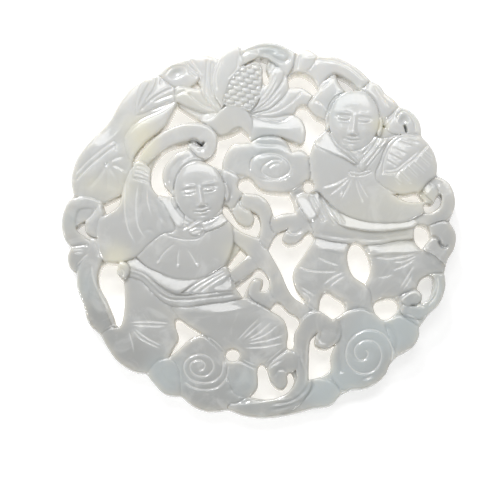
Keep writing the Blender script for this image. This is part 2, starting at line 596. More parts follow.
# %% Carve the seed pod and its seeds
pod = [(-9, 33.4), (-8.3, 37), (-7.1, 40.2), (-4.8, 42.8), (-1.6, 44.6), (0.3, 44.4), (1, 42),
       (0.6, 38.4), (0.3, 35), (-2.2, 31.3, 1), (-5.6, 32.6)]
form(pod, 4.8, drop=0.1, rim=0.2, reach=1.8, groove=0)
SEED_PITCH = (2.3, 1.3)
SEED_HALF = (1.12, 0.66)
FIRST_SEED = (-12.2, 32.4)
SEED_LEAN = math.radians(-14)
cosine, sine = math.cos(SEED_LEAN), math.sin(SEED_LEAN)
seeds = np.zeros(X.shape)
for row in range(14):
    for place in range(6):
        u = (place + 0.5 * (row % 2)) * SEED_PITCH[0]
        v = row * SEED_PITCH[1]
        dx = X / CHART[0] - (FIRST_SEED[0] + u * cosine + 0.2 * v)
        dy = Y / CHART[1] - (FIRST_SEED[1] + v + u * sine)
        along = ((dx * cosine + dy * sine) / SEED_HALF[0]) ** 2
        dome = 1 - along - ((dy * cosine - dx * sine) / SEED_HALF[1]) ** 2
        seeds = np.maximum(seeds, np.sqrt(np.clip(dome, 0, 1)))
pod_depth = depth_inside(closed_curve(pod), 1.0)
relief = relief + np.clip(pod_depth / 0.35, 0, 1) * (0.3 * seeds - 0.18)
carved("the seed pod")

# %% [markdown]
# ## The stem, the clouds and the scrolls
#
# The stem of the lotus bends along the top right, from the flower to the second boy's head. It is
# one flat form, with a lobe over its root and a fine line along each side.

# %% Carve the stem along the top right
form([(9.6, 47.6, 1), (12.2, 48.8), (15.4, 47, 1), (20, 46.6), (25.2, 43.8), (29, 40, 1),
      (27.4, 38.6), (25.9, 37, 1), (23.2, 39.6), (19.4, 41.8), (17, 40), (15.2, 37.4, 1),
      (13.6, 40.4), (10, 42), (7.2, 40.8, 1), (9, 44)], 4.5, drop=0.24, rim=0.4)
form([(9.6, 47.2, 1), (12.2, 48.8), (15.2, 46.7, 1), (13.8, 43.8), (11.4, 41.6), (9.2, 41.8),
      (9, 44.4)], 4.65, rim=0.35)
cut([(10.6, 46.8), (10.2, 44), (10, 42.4)], [(15, 45.6), (19.6, 45), (23.6, 43), (27, 39.8)],
    width=0.2, depth=0.06)
crest([(11.8, 45.6), (15, 46), (19, 45.8)], width=0.24, height=0.07)
carved("the stem")

# %% [markdown]
# Ruyi clouds are lobed like a mushroom and curl into a spiral. The spiral is a single line that is
# cut thin and shallow. Its curve comes from a dozen chart points, for a carved spiral is never as
# even as one drawn by a formula.

# %% Carve the cloud in the middle
form([(-9.2, 15.7, 1), (-8.9, 20.4), (-6.5, 22.8), (-2, 23.3, 1), (0.4, 24.6), (4.5, 24.9),
      (6.6, 23.8), (8.4, 20.9, 1), (11, 21.2), (13, 19.6, 1), (13.2, 14), (11.2, 12), (8, 10),
      (3.6, 9.6), (0.6, 10.4), (-1.5, 12.8), (-3.6, 14.2), (-6.4, 14.4)], 4.3, drop=0.24, rim=0.45)
form([(-2.4, 16), (-2, 18.4), (0, 20.2), (3.6, 20.8), (7, 19.6), (8.6, 17), (8.2, 14.4),
      (5.6, 12.8), (2, 12.8), (-0.8, 13.8)], 4.36, drop=0.06, rim=0.4, bulge=0.05, groove=0)
cut([(-2.2, 15.6), (-1.7, 18.6), (1.2, 20), (4.8, 19.9), (7.3, 18.2), (8.1, 16.2), (7.2, 14.6),
     (4.4, 13.4), (2.1, 14), (0.8, 15.4), (1.4, 17), (3.6, 18.3), (5.8, 18.2)],
    [(2.4, 16.1), (3.7, 17.2), (5.4, 17.4)], width=0.19, depth=0.13, ends=0.4)
cut([(-1.2, 23), (1.4, 22.6), (5.4, 22.4), (8, 21)], width=0.45, depth=0.08)
carved("the middle cloud")

# %% [markdown]
# An S-shaped scroll hangs under the middle cloud, and a long band runs from it down to the cloud at
# the bottom right. Two short bands branch off and curl. All three are ribbons, because their height
# has to change where they cross.

# %% Carve the S-shaped scroll and the long band under it
form([(-6.6, 5.6), (-5, 7.6), (-3, 6.6), (-1.2, 4.6), (-1.2, 1), (-4, 0.8), (-7, 2.6), (-8.6, 6)],
     4.4, drop=0.22)
ribbon([(-9, -13.6, 3.4, 4.4), (-5.6, -12, 4.2, 4.45), (-2.6, -9.6, 4.4, 4.5), (1, -8, 4.4, 4.5)])
ribbon([(6, -20, 5, 4.45), (2.4, -18.6, 4.6, 4.5), (-0.8, -17, 3.6, 4.55),
        (-0.6, -14.8, 2.8, 4.55)])
ribbon([(-8.4, 1.4, 2, 4.4), (-6.6, -0.6, 4, 4.5), (-2.4, -3.8, 5, 4.55), (1.2, -7, 6, 4.6),
        (4, -12.4, 6, 4.6), (6.6, -18, 5.6, 4.55), (10.4, -22.4, 5, 4.45), (12.6, -26, 5, 4.3)],
       drop=0.2)
form([(-4.1, 9.2), (-2, 10.2), (0.6, 9.4), (2.8, 7), (4.1, 3), (5.4, -1.4), (4.6, -5), (1.6, -5.4),
      (0.2, -3), (0.6, 0.2), (0, 3.1), (-2.1, 4.9, 1), (-3.7, 5.3), (-4.5, 7)], 4.6, drop=0.22,
     rim=0.35)
cut([(-4.4, 8.6), (-4.8, 6.9), (-3.8, 5.4), (-2.2, 4.8)], depth=0.15, ends=0.2)
carved("the scroll and its bands")

# %% [markdown]
# The cloud at the bottom left has three lobes. The two outer lobes are tucked behind the middle one
# by a small drop, and the middle one has the spiral and a second line round it.

# %% Carve the cloud at the bottom left
form([(-26.9, -38.8, 1), (-26.4, -36.4), (-25, -34.8), (-22.6, -34.1, 1), (-19.8, -31.4),
      (-17, -29.2), (-14.2, -28.2), (-11, -30.6), (-8.9, -33), (-8.3, -35.2, 1), (-5, -35),
      (-2.6, -36), (-0.6, -37.4), (-0.2, -40.4), (-1, -43), (-3, -44.8, 1), (-5.4, -46.4),
      (-7.6, -48.2, 1), (-12.5, -48.8), (-16.6, -47.4), (-19.6, -44.8, 1), (-23.5, -44.3),
      (-26.5, -41.5)], 4.1, drop=0.24, rim=0.5)
form([(-28.6, -38.6, 1), (-26.8, -36.2), (-24.8, -34.6), (-22.6, -34, 1), (-20.6, -36),
      (-19.8, -39), (-19.6, -44.6, 1), (-23.5, -44.2), (-26.5, -41.5)], 4.15, drop=0.12, rim=0.6,
     bulge=0.05, groove=0)
form([(-8.3, -35, 1), (-5, -35), (-2.6, -36), (-0.4, -37.6), (0, -40.4), (-1, -43), (-3, -44.8, 1),
      (-5.6, -44.2), (-7.6, -41)], 4.15, drop=0.14, rim=0.6, bulge=0.05, groove=0)
cut([(-7.7, -36.2), (-8.2, -39.4), (-10.2, -41.8), (-13.5, -42.6), (-16.8, -41.9), (-18.8, -40.4)],
    [(-9, -34.8), (-9.4, -38.4), (-11.4, -40.3), (-14.4, -40.7), (-17.2, -39.8), (-18.8, -37.6),
     (-18.6, -35.4), (-17.2, -33.9), (-14.8, -33.3), (-12.4, -34.2), (-11.4, -36.4), (-12.2, -38.2),
     (-14.2, -39.1), (-16.3, -38.5), (-17.4, -36.8), (-16.8, -35.3), (-15, -34.8), (-13.7, -35.7),
     (-13.8, -37), (-15.2, -37.5)], width=0.18, depth=0.11, ends=0.5)
cut([(-24.6, -37), (-23.4, -40), (-20.8, -42)], [(-4.8, -38), (-5.6, -41), (-7.8, -43.6)],
    width=0.5, depth=0.06)
carved("the cloud at the bottom left")

# %% [markdown]
# Its partner at the bottom right is larger. Its left side turns up into a stalk, on which the
# hooked end of the bottom ribbon will lie.

# %% Carve the cloud at the bottom right and its stalk
form([(10.4, -24.8), (12.4, -23), (15.1, -21.8, 1), (18.4, -24.2, 1), (20.2, -22.8), (22, -21.9),
      (25.4, -21), (28.8, -21.5), (31.6, -24.2, 1), (34, -23.4), (37, -23.2), (40.6, -26, 1),
      (40.9, -28.5), (39.2, -31.7), (35.2, -34, 1), (33.4, -36.4), (32.4, -38.6, 1), (30.2, -41),
      (26.9, -42.7), (23.3, -43, 1), (20.6, -42.6), (18.4, -39.4), (18.1, -34), (19.2, -30.8, 1),
      (16.8, -32), (14.2, -31), (14.6, -27.8, 1), (12.8, -29), (10, -28)], 4.1, drop=0.24, rim=0.5)
form([(31.4, -24.4, 1), (34, -23.3), (37, -23.1), (40.6, -26, 1), (40.9, -28.5), (39.2, -31.7),
      (35.2, -34, 1), (33.2, -30)], 4.15, drop=0.14, rim=0.6, bulge=0.05, groove=0)
cut([(33.5, -35.4), (33.5, -31.4), (31.6, -28.2), (28.6, -26.8), (25.2, -27.6), (22.8, -30),
     (21.9, -33.2), (22.6, -36), (24.8, -38), (27.6, -38.2), (29.9, -36.6), (30.9, -33.8),
     (30.2, -31), (28.2, -29.6), (25.7, -30), (24.2, -31.8), (24.4, -33.8), (25.8, -34.9),
     (27.2, -34.2), (27.5, -32.8), (26.6, -32)], width=0.18, ends=0.5)
cut([(21, -23.6), (20.2, -31), (20.8, -38.6)], [(32.2, -25.2), (34.6, -29), (34.4, -33)], width=0.5)
cut([(26, -39.9), (27.6, -39.6), (28.8, -38.8)], depth=0.15)
form([(10.4, -24.8, 1), (12.4, -23), (15.1, -21.8, 1), (18.4, -24.2, 1), (20.6, -25.6), (20.6, -29),
      (19.3, -30.7, 1), (17, -32), (14, -31.4), (12, -33), (10, -30)], 4.24, drop=0.1, groove=0)
carved("the cloud at the bottom right")

# %% [markdown]
# A ribbon runs along the bottom between the clouds. It rises through the gap and bends over in a
# hook, and a curl leans against it from the left. Pleats follow its length.

# %% Carve the ribbon along the bottom and the curls on it
form([(4, -49.6), (13.4, -48.2, 1), (18.4, -47.2), (20.9, -44.4), (19.8, -42), (18, -40.2),
      (15.6, -39.6), (12.4, -39, 1), (10, -42), (5, -46)], 4.25, drop=0.22)
ribbon([(16, -30.6, 2.4, 4.4), (17.6, -28.4, 4, 4.38), (17.6, -25.6, 5, 4.42),
        (14.6, -24.6, 5.6, 4.52), (11.8, -26.8, 5.2, 4.6), (10.8, -31, 4.4, 4.6),
        (11, -36, 3.8, 4.6), (11.4, -40.4, 4, 4.6), (9, -44.8, 4.4, 4.55), (4, -47.2, 4.6, 4.5),
        (-2, -48, 4.4, 4.3), (-6.6, -47.4, 2.6, 4.1)], drop=0.22, groove=0.02)
cut([(14.4, -27.6), (14.7, -29), (15.8, -30.3), (17.4, -30.8)], width=0.2, depth=0.07)
cut([(15.2, -26.6), (17, -26.6), (18.4, -28.2)], width=0.4, depth=0.06)
pleat([(2.6, -47.6), (6.4, -47), (10, -45.6), (12.6, -43.4), (14, -40.6)], height=0.09)
pleat([(4, -46), (8, -45.4), (11, -43), (12.3, -40.6)], height=0.08)
pleat([(10.4, -33.4), (11, -36), (11.8, -38.2), (11.6, -41)],
      [(12.4, -29.6), (11.9, -33), (11.9, -36.4)])
form([(2.2, -37.2), (4.6, -34.4), (7.7, -32, 1), (9.6, -33.6), (9.8, -36.6), (8.4, -38.3),
      (7.2, -38.8), (7.2, -41.2), (5.6, -42.6), (3.4, -41)], 4.58, drop=0.12, rim=0.4, bulge=0,
     groove=0.02)
cut([(7.2, -38.7), (6.4, -37.5), (4.8, -37.6), (3.9, -39.4)],
    [(1.4, -37.2), (3.6, -36), (6, -34.6)], width=0.3, depth=0.09)
carved("the bottom ribbon")

# %% [markdown]
# ## The ribbons at both sides
#
# The ribbons carry the rim of the pendant and curl at their ends. Their heights change along the
# way, so that each one passes over or under what it meets. The left one curls round a narrow gap
# under the leaf and then follows the rim down to the cloud.

# %% Carve the ribbon at the left
form([(-46.8, 8.4, 1), (-43, 8), (-40.4, 7.4, 1), (-38.6, 3.6, 1), (-40.6, -3), (-39.6, -9.2),
      (-40.6, -13), (-38, -19.8), (-35.4, -26.2), (-39.9, -28.2, 1), (-43.2, -25.6), (-44.6, -20.5),
      (-46.2, -16), (-46.4, -12.1, 1), (-48.2, -10.4), (-48.7, -7.2), (-47.7, -5.1, 1), (-49.5, -3),
      (-50.3, 0), (-50, 4.2), (-48.7, 7.4)], 4.35, drop=0.24, rim=0.45)
ribbon([(-40.9, 6.2, 2.6, 4.5), (-43.6, 6.9, 3, 4.6), (-46.4, 6.4, 3.2, 4.6), (-48, 3.8, 3.6, 4.6),
        (-48.2, 0.2, 3.6, 4.6), (-46.6, -2.8, 3.4, 4.55), (-43.8, -4, 2.4, 4.35)], drop=0.18,
       groove=0.02)
form([(-44, 1.9, 1), (-42.2, 3.8), (-41.3, 5.3), (-40.6, 6.8, 1), (-39.4, 4), (-40.2, 1),
      (-40.1, -2.2), (-42.8, -2.4), (-44.2, -0.7)], 4.55, drop=0.18, groove=0.02)
form([(-48.9, -7.2), (-47.6, -4.8, 1), (-44.6, -4.4), (-42.4, -5.2), (-43.4, -7.8), (-45.8, -10.2),
      (-46.4, -12.2, 1), (-48.4, -10.6)], 4.45, rim=0.4, bulge=0.05)
ribbon([(-41.6, -4, 2.8, 4.55), (-42, -8, 4.6, 4.62), (-43.4, -12.6, 5.4, 4.66),
        (-43.2, -17, 5.2, 4.6), (-41.4, -21.6, 5.2, 4.45), (-39, -26.8, 4.4, 4.2)], drop=0.2,
       groove=0.02)
cut([(-43.9, 2), (-42.3, 3.6), (-41.3, 5.6)], depth=0.15, ends=0.3)
cut([(-41.9, -3.6), (-41, -5.4), (-40.4, -7.6)], [(-46.2, -10), (-44.6, -8), (-43, -6.6)],
    [(-47.4, -4.9), (-44.4, -4.7)], [(-47.2, -5.6), (-44, -5.4)], [(-46.8, -6.4), (-44.2, -6.3)],
    [(-42.4, -9.6), (-41.8, -13.6), (-40, -18), (-37.8, -21.4)], depth=0.1)
carved("the left ribbon")

# %% [markdown]
# The right ribbon curls twice, each time round a gap. The hollow of its lower curl is so small that
# it is cut as a deep notch, which reads as a shadow from in front.

# %% Carve the ribbons at the right
form([(41, 9.6), (43, 12.6), (45.2, 14.4, 1), (48.7, 12.2), (50.2, 7.5), (49.6, 4), (48.6, 1.9, 1),
      (50.3, -1.5), (49.8, -5.5), (48.2, -8.3), (47.2, -11.8, 1), (47.5, -15.5), (46, -19.9),
      (43.1, -23.2), (40.6, -26.2, 1), (36.4, -23.2), (35.2, -20.8), (36, -17.6), (40, -16),
      (41.2, -13.6), (43.4, -12.4), (41.4, -5.6), (43.6, -2.2), (42.8, 0.4), (40, 0.8), (38, 2),
      (42, 7)], 4.1, drop=0.24, rim=0.45)
ribbon([(43.4, 12.4, 2.6, 4.3), (46.4, 11.6, 4.4, 4.6), (48.2, 8.6, 4, 4.75), (47.8, 5, 3.8, 4.75),
        (45.2, 2.8, 3.8, 4.7), (41, 2.4, 3.6, 4.6)], drop=0.18, groove=0)
ribbon([(41.8, 11.6, 2, 4.3), (43.8, 10, 3.4, 4.5), (44.8, 8.4, 2.6, 4.5)], drop=0.2)
form([(42.6, 0.6, 1), (46, 2), (48.6, 1.9, 1), (50.3, -1.5), (49.8, -5.5), (48.2, -8.3),
      (47.2, -11.8, 1), (44, -10), (41.4, -5.6, 1), (43.6, -2.2, 1)], 4.4, drop=0.12, rim=0.5,
     bulge=0.05, groove=0)
cut([(43.6, -2.2), (44.8, -2.2), (45.7, -3), (46.1, -4.3), (47, -5.1), (48.2, -4.4)], width=0.24,
    depth=0.36, ends=0.6)
cut([(45.7, -3.2), (46.2, -4.4), (47.2, -4.7)], width=0.3, depth=0.35, ends=0.3)
crest([(41.8, -6.2), (44, -7.2), (46.6, -9.2)], height=0.06)
ribbon([(44, -11.4, 2.4, 4.3), (45.9, -13, 3, 4.5), (45.9, -16.4, 3.2, 4.6), (43.9, -20, 3.6, 4.6),
        (40.6, -22, 3.8, 4.5), (37.4, -21.6, 3.2, 4.4)])
form([(36, -19.2), (37.2, -17.6), (39.4, -16.4), (41.2, -17.2), (41.2, -18.8), (40, -20),
      (37.6, -20.6)], 4.55, drop=0.18, rim=0.4, bulge=0.02)
crest([(35.8, -19.4), (37.4, -17.9), (39.8, -17.1), (41, -18.5)])
cut([(38.2, -20.4), (40.2, -20.5)], width=0.2, depth=0.35, ends=0.4)
cut([(45.2, -12.4), (45.4, -15), (44.7, -18), (42.8, -20.4)],
    [(38.6, -20.3), (40.8, -20.6), (42, -20.9)], [(36.8, -22.6), (39.2, -23.6), (40.8, -25.2)],
    depth=0.14)
carved("the right ribbons")

# %% [markdown]
# ## The left boy
#
# The boy strides with wide trousers under a robe, a sash round the waist and one arm raised.
# The clothes are carved from the trousers up to the sleeve, as they lie over each other. The hems
# have fans of fine lines that start together and spread, like cloth pulled by a step.

# %% Carve the left boy's trousers
form([(-34.4, -12), (-29.5, -13), (-25.4, -17.6), (-21.3, -20.4), (-20.3, -25), (-19.9, -29.4),
      (-21.2, -31.6), (-22.6, -34.3, 1), (-25.2, -34.8), (-27, -36.6), (-28.4, -38.8, 1),
      (-31.8, -38.1), (-35.8, -35.6), (-38.4, -32), (-40.3, -28.2, 1), (-37.4, -26.2), (-35.5, -26),
      (-34, -22)], 4.15, drop=0.1, rim=0.5, reach=3.2, groove=0.02)
form([(-21.8, -20.4), (-12, -19.2), (-4, -18.2, 1), (-1, -19.4), (2.8, -21.5, 1), (5.6, -23.6),
      (7.3, -26.4), (7.3, -31.6, 1), (4.4, -34), (1.2, -36.2), (-1, -36.8), (-4.6, -35),
      (-8.5, -32.4), (-11.4, -29.6), (-14.6, -27.8), (-20.4, -23.9)], 4.2, rim=0.5, bulge=0.06,
     reach=3.2)
swell(-29, -20, 4.6, 6, 0.12, turn=-20)
swell(-8, -23.4, 9, 3.4, 0.15, turn=-8)
tip([(-20, -20.6), (-12, -19.6), (-4, -18.6), (-1.4, -20.2), (-6, -22.2), (-14, -23)], (0, -0.06))
cut([(-32.6, -24.8), (-28, -24.6), (-22.6, -25.1)], [(-32, -25.5), (-28, -25.8), (-23.1, -25.8)],
    [(-31.6, -26.3), (-28.8, -28.6), (-24.3, -31.2)],
    [(-32.1, -26.6), (-29.7, -29.2), (-24.6, -31.9)], [(-33, -26.8), (-32.2, -29.6), (-31.4, -33)],
    [(-39, -26.8), (-36.8, -25.6), (-34.6, -25.4)], width=0.16, depth=0.07, ends=1.4)
cut([(-5.6, -29.8), (-3.6, -27.6), (-1.6, -25.4), (0.2, -23.6)],
    [(-4.4, -29.4), (-1.8, -27.2), (1.2, -24.4)], [(-3.4, -29.8), (0, -27.6), (3.2, -24.6)],
    [(-3, -30), (1.4, -28.2), (5, -25.4)], [(-3, -30.5), (2.2, -29.6), (6.6, -28)],
    [(-4, -31.6), (1.4, -31.3), (6.6, -30.2)], [(-4.6, -34.4), (-2.4, -35.6), (-0.4, -36.4)],
    [(6.4, -31.4), (3.8, -33.8), (1.4, -36)], [(-14, -28.2), (-11, -30), (-8.6, -32.6)], width=0.16,
    depth=0.06, ends=1.4)
carved("the left boy's trousers")

# %% [markdown]
# The robe ends in a bright sash that sags between the hips. Its two facets lean towards the top by
# 0.14 millimetres per millimetre, at which slope the polished stone mirrors the gloss lamp.

# %% Carve the left boy's robe and sash
form([(-34.2, -9), (-30, -7.2), (-20, -8), (-9, -9), (-7.4, -12), (-5.6, -15.6), (-3.9, -18.5, 1),
      (-8, -19.4), (-12, -19.9), (-17, -20.7), (-20.5, -20.9), (-23.5, -20), (-26, -18),
      (-29.8, -13.9), (-33.4, -12.4)], 4.4, drop=0.24, rim=0.4)
form([(-33.4, -9.8), (-30, -8), (-9, -9.4), (-8, -13), (-12, -16.2), (-17, -17.6), (-21, -17.4),
      (-24, -15.8), (-28, -12.2)], 4.55, rim=0.35, lean=(0, -0.07))
pleat([(-32.6, -11.4), (-29, -13), (-26, -16), (-23, -18.2), (-19.6, -18.7), (-14, -18.2),
       (-6, -17.2)],
      [(-31.8, -10.6), (-28.6, -12.2), (-25.4, -14.9), (-22.6, -17), (-19.8, -17.5), (-14, -17),
       (-7, -15.8)], ends=0.8)
form([(-33.6, -9.4), (-30.5, -7), (-28, -9), (-25.6, -10.6), (-22, -12), (-18, -12.6), (-14, -12),
      (-10.8, -10.6), (-9, -11.6), (-12, -13.6), (-15, -15.6), (-18.6, -17.2), (-22.2, -16.6),
      (-25.2, -15), (-28.4, -12.3)], 4.55, drop=0.1, rim=0.2, bulge=0, lean=(0, -0.14), groove=0.03)
form([(-19.6, -17.2, 1), (-16.8, -15), (-12.4, -12.4), (-8.2, -10, 1), (-7.4, -12),
      (-6.4, -16.6, 1), (-10, -17), (-14.8, -17.4, 1)], 4.62, rim=0.2, bulge=0, groove=0.03)
tip([(-11.6, -16.6), (-9.4, -14.4), (-7.4, -12.4), (-6.8, -15), (-6.6, -16.8)], (0, -0.14))
cut([(-18.6, -16.8), (-15.6, -14.6), (-12, -12.6), (-8.6, -10.8)],
    [(-16.8, -16.8), (-13.8, -14.6), (-10.4, -12.6), (-8.2, -11.4)],
    [(-14.8, -17), (-12.4, -15), (-9.8, -13.2), (-8, -12.2)], ends=0.6)
form([(-36.2, -11.4), (-35.4, -9), (-33.4, -9.2), (-32.6, -11.2), (-33.6, -13.4), (-34.8, -13.8)],
     4.75, drop=0.24, rim=0.35)
cut([(-35.2, -10.4), (-34.2, -11.6), (-34.4, -13)], depth=0.16)
carved("the left boy's robe")

# %% [markdown]
# The torso is a broad, nearly flat form, and three short lines hold a bead of light at their ends.
# The collar lies over it as a crescent, and the knotted cords on the collar are crests and cuts
# that cross.

# %% Carve the left boy's torso and collar
form([(-27.6, 2), (-21.8, 2), (-16, 2), (-11, 4), (-7.6, 6, 1), (-6.6, 0), (-6.4, -4), (-7.4, -7.4),
      (-8.5, -9.8, 1), (-10.8, -11.4), (-13.6, -13), (-18, -13.8), (-22, -13.2), (-25.6, -11.6),
      (-28.4, -10.2), (-31, -7.6, 1), (-29.4, -3)], 4.75, drop=0.24, rim=0.4, reach=4, groove=0.03)
cut([(-21, -4), (-22.6, -5.2), (-24.6, -7.4), (-25.9, -9.9)],
    [(-20, -5), (-20.5, -8), (-20.4, -10.8)], [(-18.5, -5), (-17, -7.4), (-15.2, -10.4)],
    width=0.18, depth=0.08, ends=1.6)
crest([(-25.2, -8.6), (-25.9, -9.7)], [(-20.5, -9.6), (-20.4, -10.7)],
      [(-15.9, -9.4), (-15.2, -10.4)], width=0.22, height=0.14, ends=0.3)
form([(-26.2, 0.8), (-23.6, -1.6), (-20, -2.8), (-16.6, -3), (-14.6, -2.4), (-13, -0.9),
      (-10.2, 0.2), (-8, 2.6), (-8.6, 6), (-13, 5.4), (-18, 5.4), (-21, 6), (-25, 6)], 4.88)
form([(-14.2, -0.6), (-13.6, 1.6), (-10.8, 3), (-8.8, 4.6), (-7.4, 5.8), (-6.9, 3.2), (-8.6, 1.2),
      (-11, -0.2)], 4.95, rim=0.25, bulge=0, lean=(0, -0.14), groove=0.03)
cut([(-20.6, 3.2), (-19.2, 2.1), (-17.8, 1.4)], [(-20, 1.6), (-18.4, 0.6), (-16.8, 0.2)],
    [(-19.4, -0.4), (-17.4, 0.8), (-15, 2.4)], ends=0.4)
crest([(-20.4, 2.5), (-19, 1.5), (-17.6, 0.8)], [(-18, -0.2), (-16, 1), (-13.8, 2.2)], height=0.12,
      ends=0.4)
form([(-18, -0.9, 1), (-16, 0.1), (-13.9, 0, 1), (-14.6, -1.4), (-16.6, -2.2)], 5.05, drop=0.22,
     groove=0.06)
cut([(-17, -1.2), (-15.6, -0.8), (-14.4, -0.5)], depth=0.14)
carved("the left boy's torso")

# %% [markdown]
# The sleeve hangs from the raised arm as a wide bag with long folds. The folds are only a few
# hundredths of a millimetre deep, for deeper ones turn dark.

# %% Carve the left boy's sleeve
form([(-35, 8.6), (-33.4, 14), (-31.6, 17.2, 1), (-29.6, 16.8), (-27.6, 15.4, 1), (-27.2, 11.6),
      (-25.6, 8.8), (-23.6, 6.2), (-22, 2.6), (-21.2, -0.6), (-24.4, -1.6), (-27, -3.6),
      (-30.8, -7.6, 1), (-34.6, -9, 1), (-38, -9.2), (-39.6, -8.4), (-41, -4), (-40.7, 2),
      (-38.6, 3.9), (-35.9, 6)], 4.75, drop=0.24, rim=0.5, bulge=0.05, reach=4, groove=0.05)
pleat([(-33.4, 13.6), (-33.6, 7), (-33, 1), (-31.4, -5)], width=0.5, height=0.06)
cut([(-33.8, 13), (-34.1, 6), (-33.2, 0), (-31, -4.6)],
    [(-30.6, 12.4), (-31.2, 6), (-30.6, 0.6), (-28.6, -3)], [(-28.4, 11.4), (-28.2, 7), (-27, 2.8)],
    width=0.17, depth=0.04, ends=2)
cut([(-29.4, 12), (-29.8, 6), (-28.6, 0)], [(-26.6, 9), (-25.2, 4), (-23.2, 0.6)],
    [(-34, -5.4), (-31.6, -5.2)], [(-29.6, -0.6), (-27.4, -0.4), (-26.4, -1.6)],
    [(-28.4, -2.6), (-26.8, -2)], width=0.4, depth=0.07, ends=1.6)
carved("the left boy's sleeve")

# %% [markdown]
# The arm arches over the head as a ribbon that ends in a curled hand. A wrapped cuff joins it to
# the sleeve. The last cuts are deep and very short: they open the hollow of the hand.

# %% Carve the left boy's arm and cuff
ribbon([(-30.2, 17.4, 3.4, 4.5), (-27.6, 21, 4.4, 4.7), (-23.6, 24, 4.8, 4.8),
        (-18.4, 25.9, 4.8, 4.9), (-14.2, 25.4, 4.8, 4.95), (-12, 22.6, 4.4, 4.95),
        (-13, 20.1, 4, 4.9), (-15.2, 20.2, 3.4, 4.85), (-17.2, 21.8, 2, 4.7)], drop=0.25)
form([(-25.6, 8.8), (-22.2, 9.2), (-19.6, 8.2), (-19, 5.6), (-18.8, 2.8), (-19.4, 0.2),
      (-20.8, 0.4), (-22.4, 3), (-24.2, 6.2)], 4.72, rim=0.2, bulge=0, lean=(-0.06, -0.13),
     groove=0.03)
form([(-31.8, 17.6, 1), (-30.2, 18.2), (-27.4, 16, 1), (-27.4, 12.4), (-29, 13), (-32, 13.6)], 4.85)
cut([(-31.2, 16.6), (-29.4, 16.2), (-27.8, 15)], [(-31.6, 15.6), (-29.6, 15.2), (-27.8, 13.9)],
    [(-31.8, 14.6), (-29.8, 14), (-27.8, 12.9)], [(-31.8, 13.5), (-29.4, 12.9), (-27.8, 12)])
cut([(-15, 22.6), (-14.4, 22.6), (-13.9, 23.2)], width=0.24, depth=1.4, ends=0.2)
cut([(-17.9, 23.3), (-16.6, 23.8), (-15.5, 23.3), (-14.9, 22.5)], width=0.2, depth=0.8, ends=0.3)
cut([(-16, 21.4), (-14.6, 21), (-13.4, 22), (-13.6, 23.6)], depth=0.16)
carved("the left boy's arm")

# %% [markdown]
# ## The right boy
#
# The other boy stands on a cloud with a lotus leaf held at the shoulder. The two trouser legs part
# round a gap shaped like an almond, and each has a bright band at the top and a fan of folds.

# %% Carve the right boy's trousers
form([(13.8, -1.6), (22.2, -3), (23.2, -5), (22.4, -8.6), (24, -12.6), (27, -14.9, 1), (29, -17),
      (28.8, -20.4), (29.4, -22.4), (25.6, -21), (22, -21.6), (21.7, -19.6), (19, -17.8),
      (17.2, -16.8), (15.6, -18.4), (15, -22, 1), (11.4, -19.2, 1), (9.2, -15.8), (8.4, -11.8),
      (11.4, -6.6)], 4.15, drop=0.24, rim=0.45, reach=3)
form([(27.4, -3.8), (34, -2.6), (38.6, -2.6), (41.4, -5.6), (44.2, -7), (47.4, -10, 1),
      (47.2, -12, 1), (43.4, -12.2), (41, -13.5), (39.9, -15.9, 1), (36, -17.6), (34.2, -18.5),
      (31, -18.7), (29, -20.2), (28.2, -17), (27, -14.8, 1), (28.5, -11), (27.8, -7)], 4.15,
     drop=0.24, rim=0.45, reach=3)
tip([(14.4, -2), (18.2, -2.9), (22.8, -3.6), (22, -6.6), (18, -6.2), (14.8, -5.4)], (0, -0.13))
tip([(27.2, -3.4), (33, -3), (39.2, -2), (42, -5.4), (39.6, -6.8), (33, -7), (27.6, -7.2)],
    (0, -0.15))
crest([(41.6, -5.8), (44.2, -7.1), (47.3, -9.9)], width=0.34, height=0.26, ends=0.4)
cut([(14.8, -7.4), (17.6, -8.8), (20.4, -9.8)],
    [(10, -9.8), (12, -10.8), (15.5, -11.4), (19.8, -11.3)],
    [(16, -15), (18.8, -12.8), (21.6, -11.4)], [(17.6, -15.6), (19.8, -13.8), (21.8, -12.4)],
    [(10.4, -15.2), (12.4, -16.6), (14.6, -18)],
    [(10.4, -16.4), (12.2, -17.6), (12.9, -19), (11.8, -20)], width=0.16, depth=0.08, ends=1.2)
cut([(29.2, -7.4), (32.6, -7.9), (36, -7.4), (40.6, -6.3)], [(30, -12.8), (32, -12.8), (34, -12)],
    [(33.8, -11), (37, -9.8), (39.8, -7.8)],
    [(35.5, -16), (36.8, -14), (38.2, -11.6), (39.6, -9.4)], [(36.4, -16.4), (38, -14), (39, -12)],
    [(33.8, -8.8), (37, -8.6), (40.2, -7)], width=0.16, depth=0.07, ends=1.2)
carved("the right boy's trousers")

# %% [markdown]
# The robe swings to the left in a pleated tail and crosses the hips in two bands. The upper band
# leans towards the lamp and shines, and the lower one stays dull.

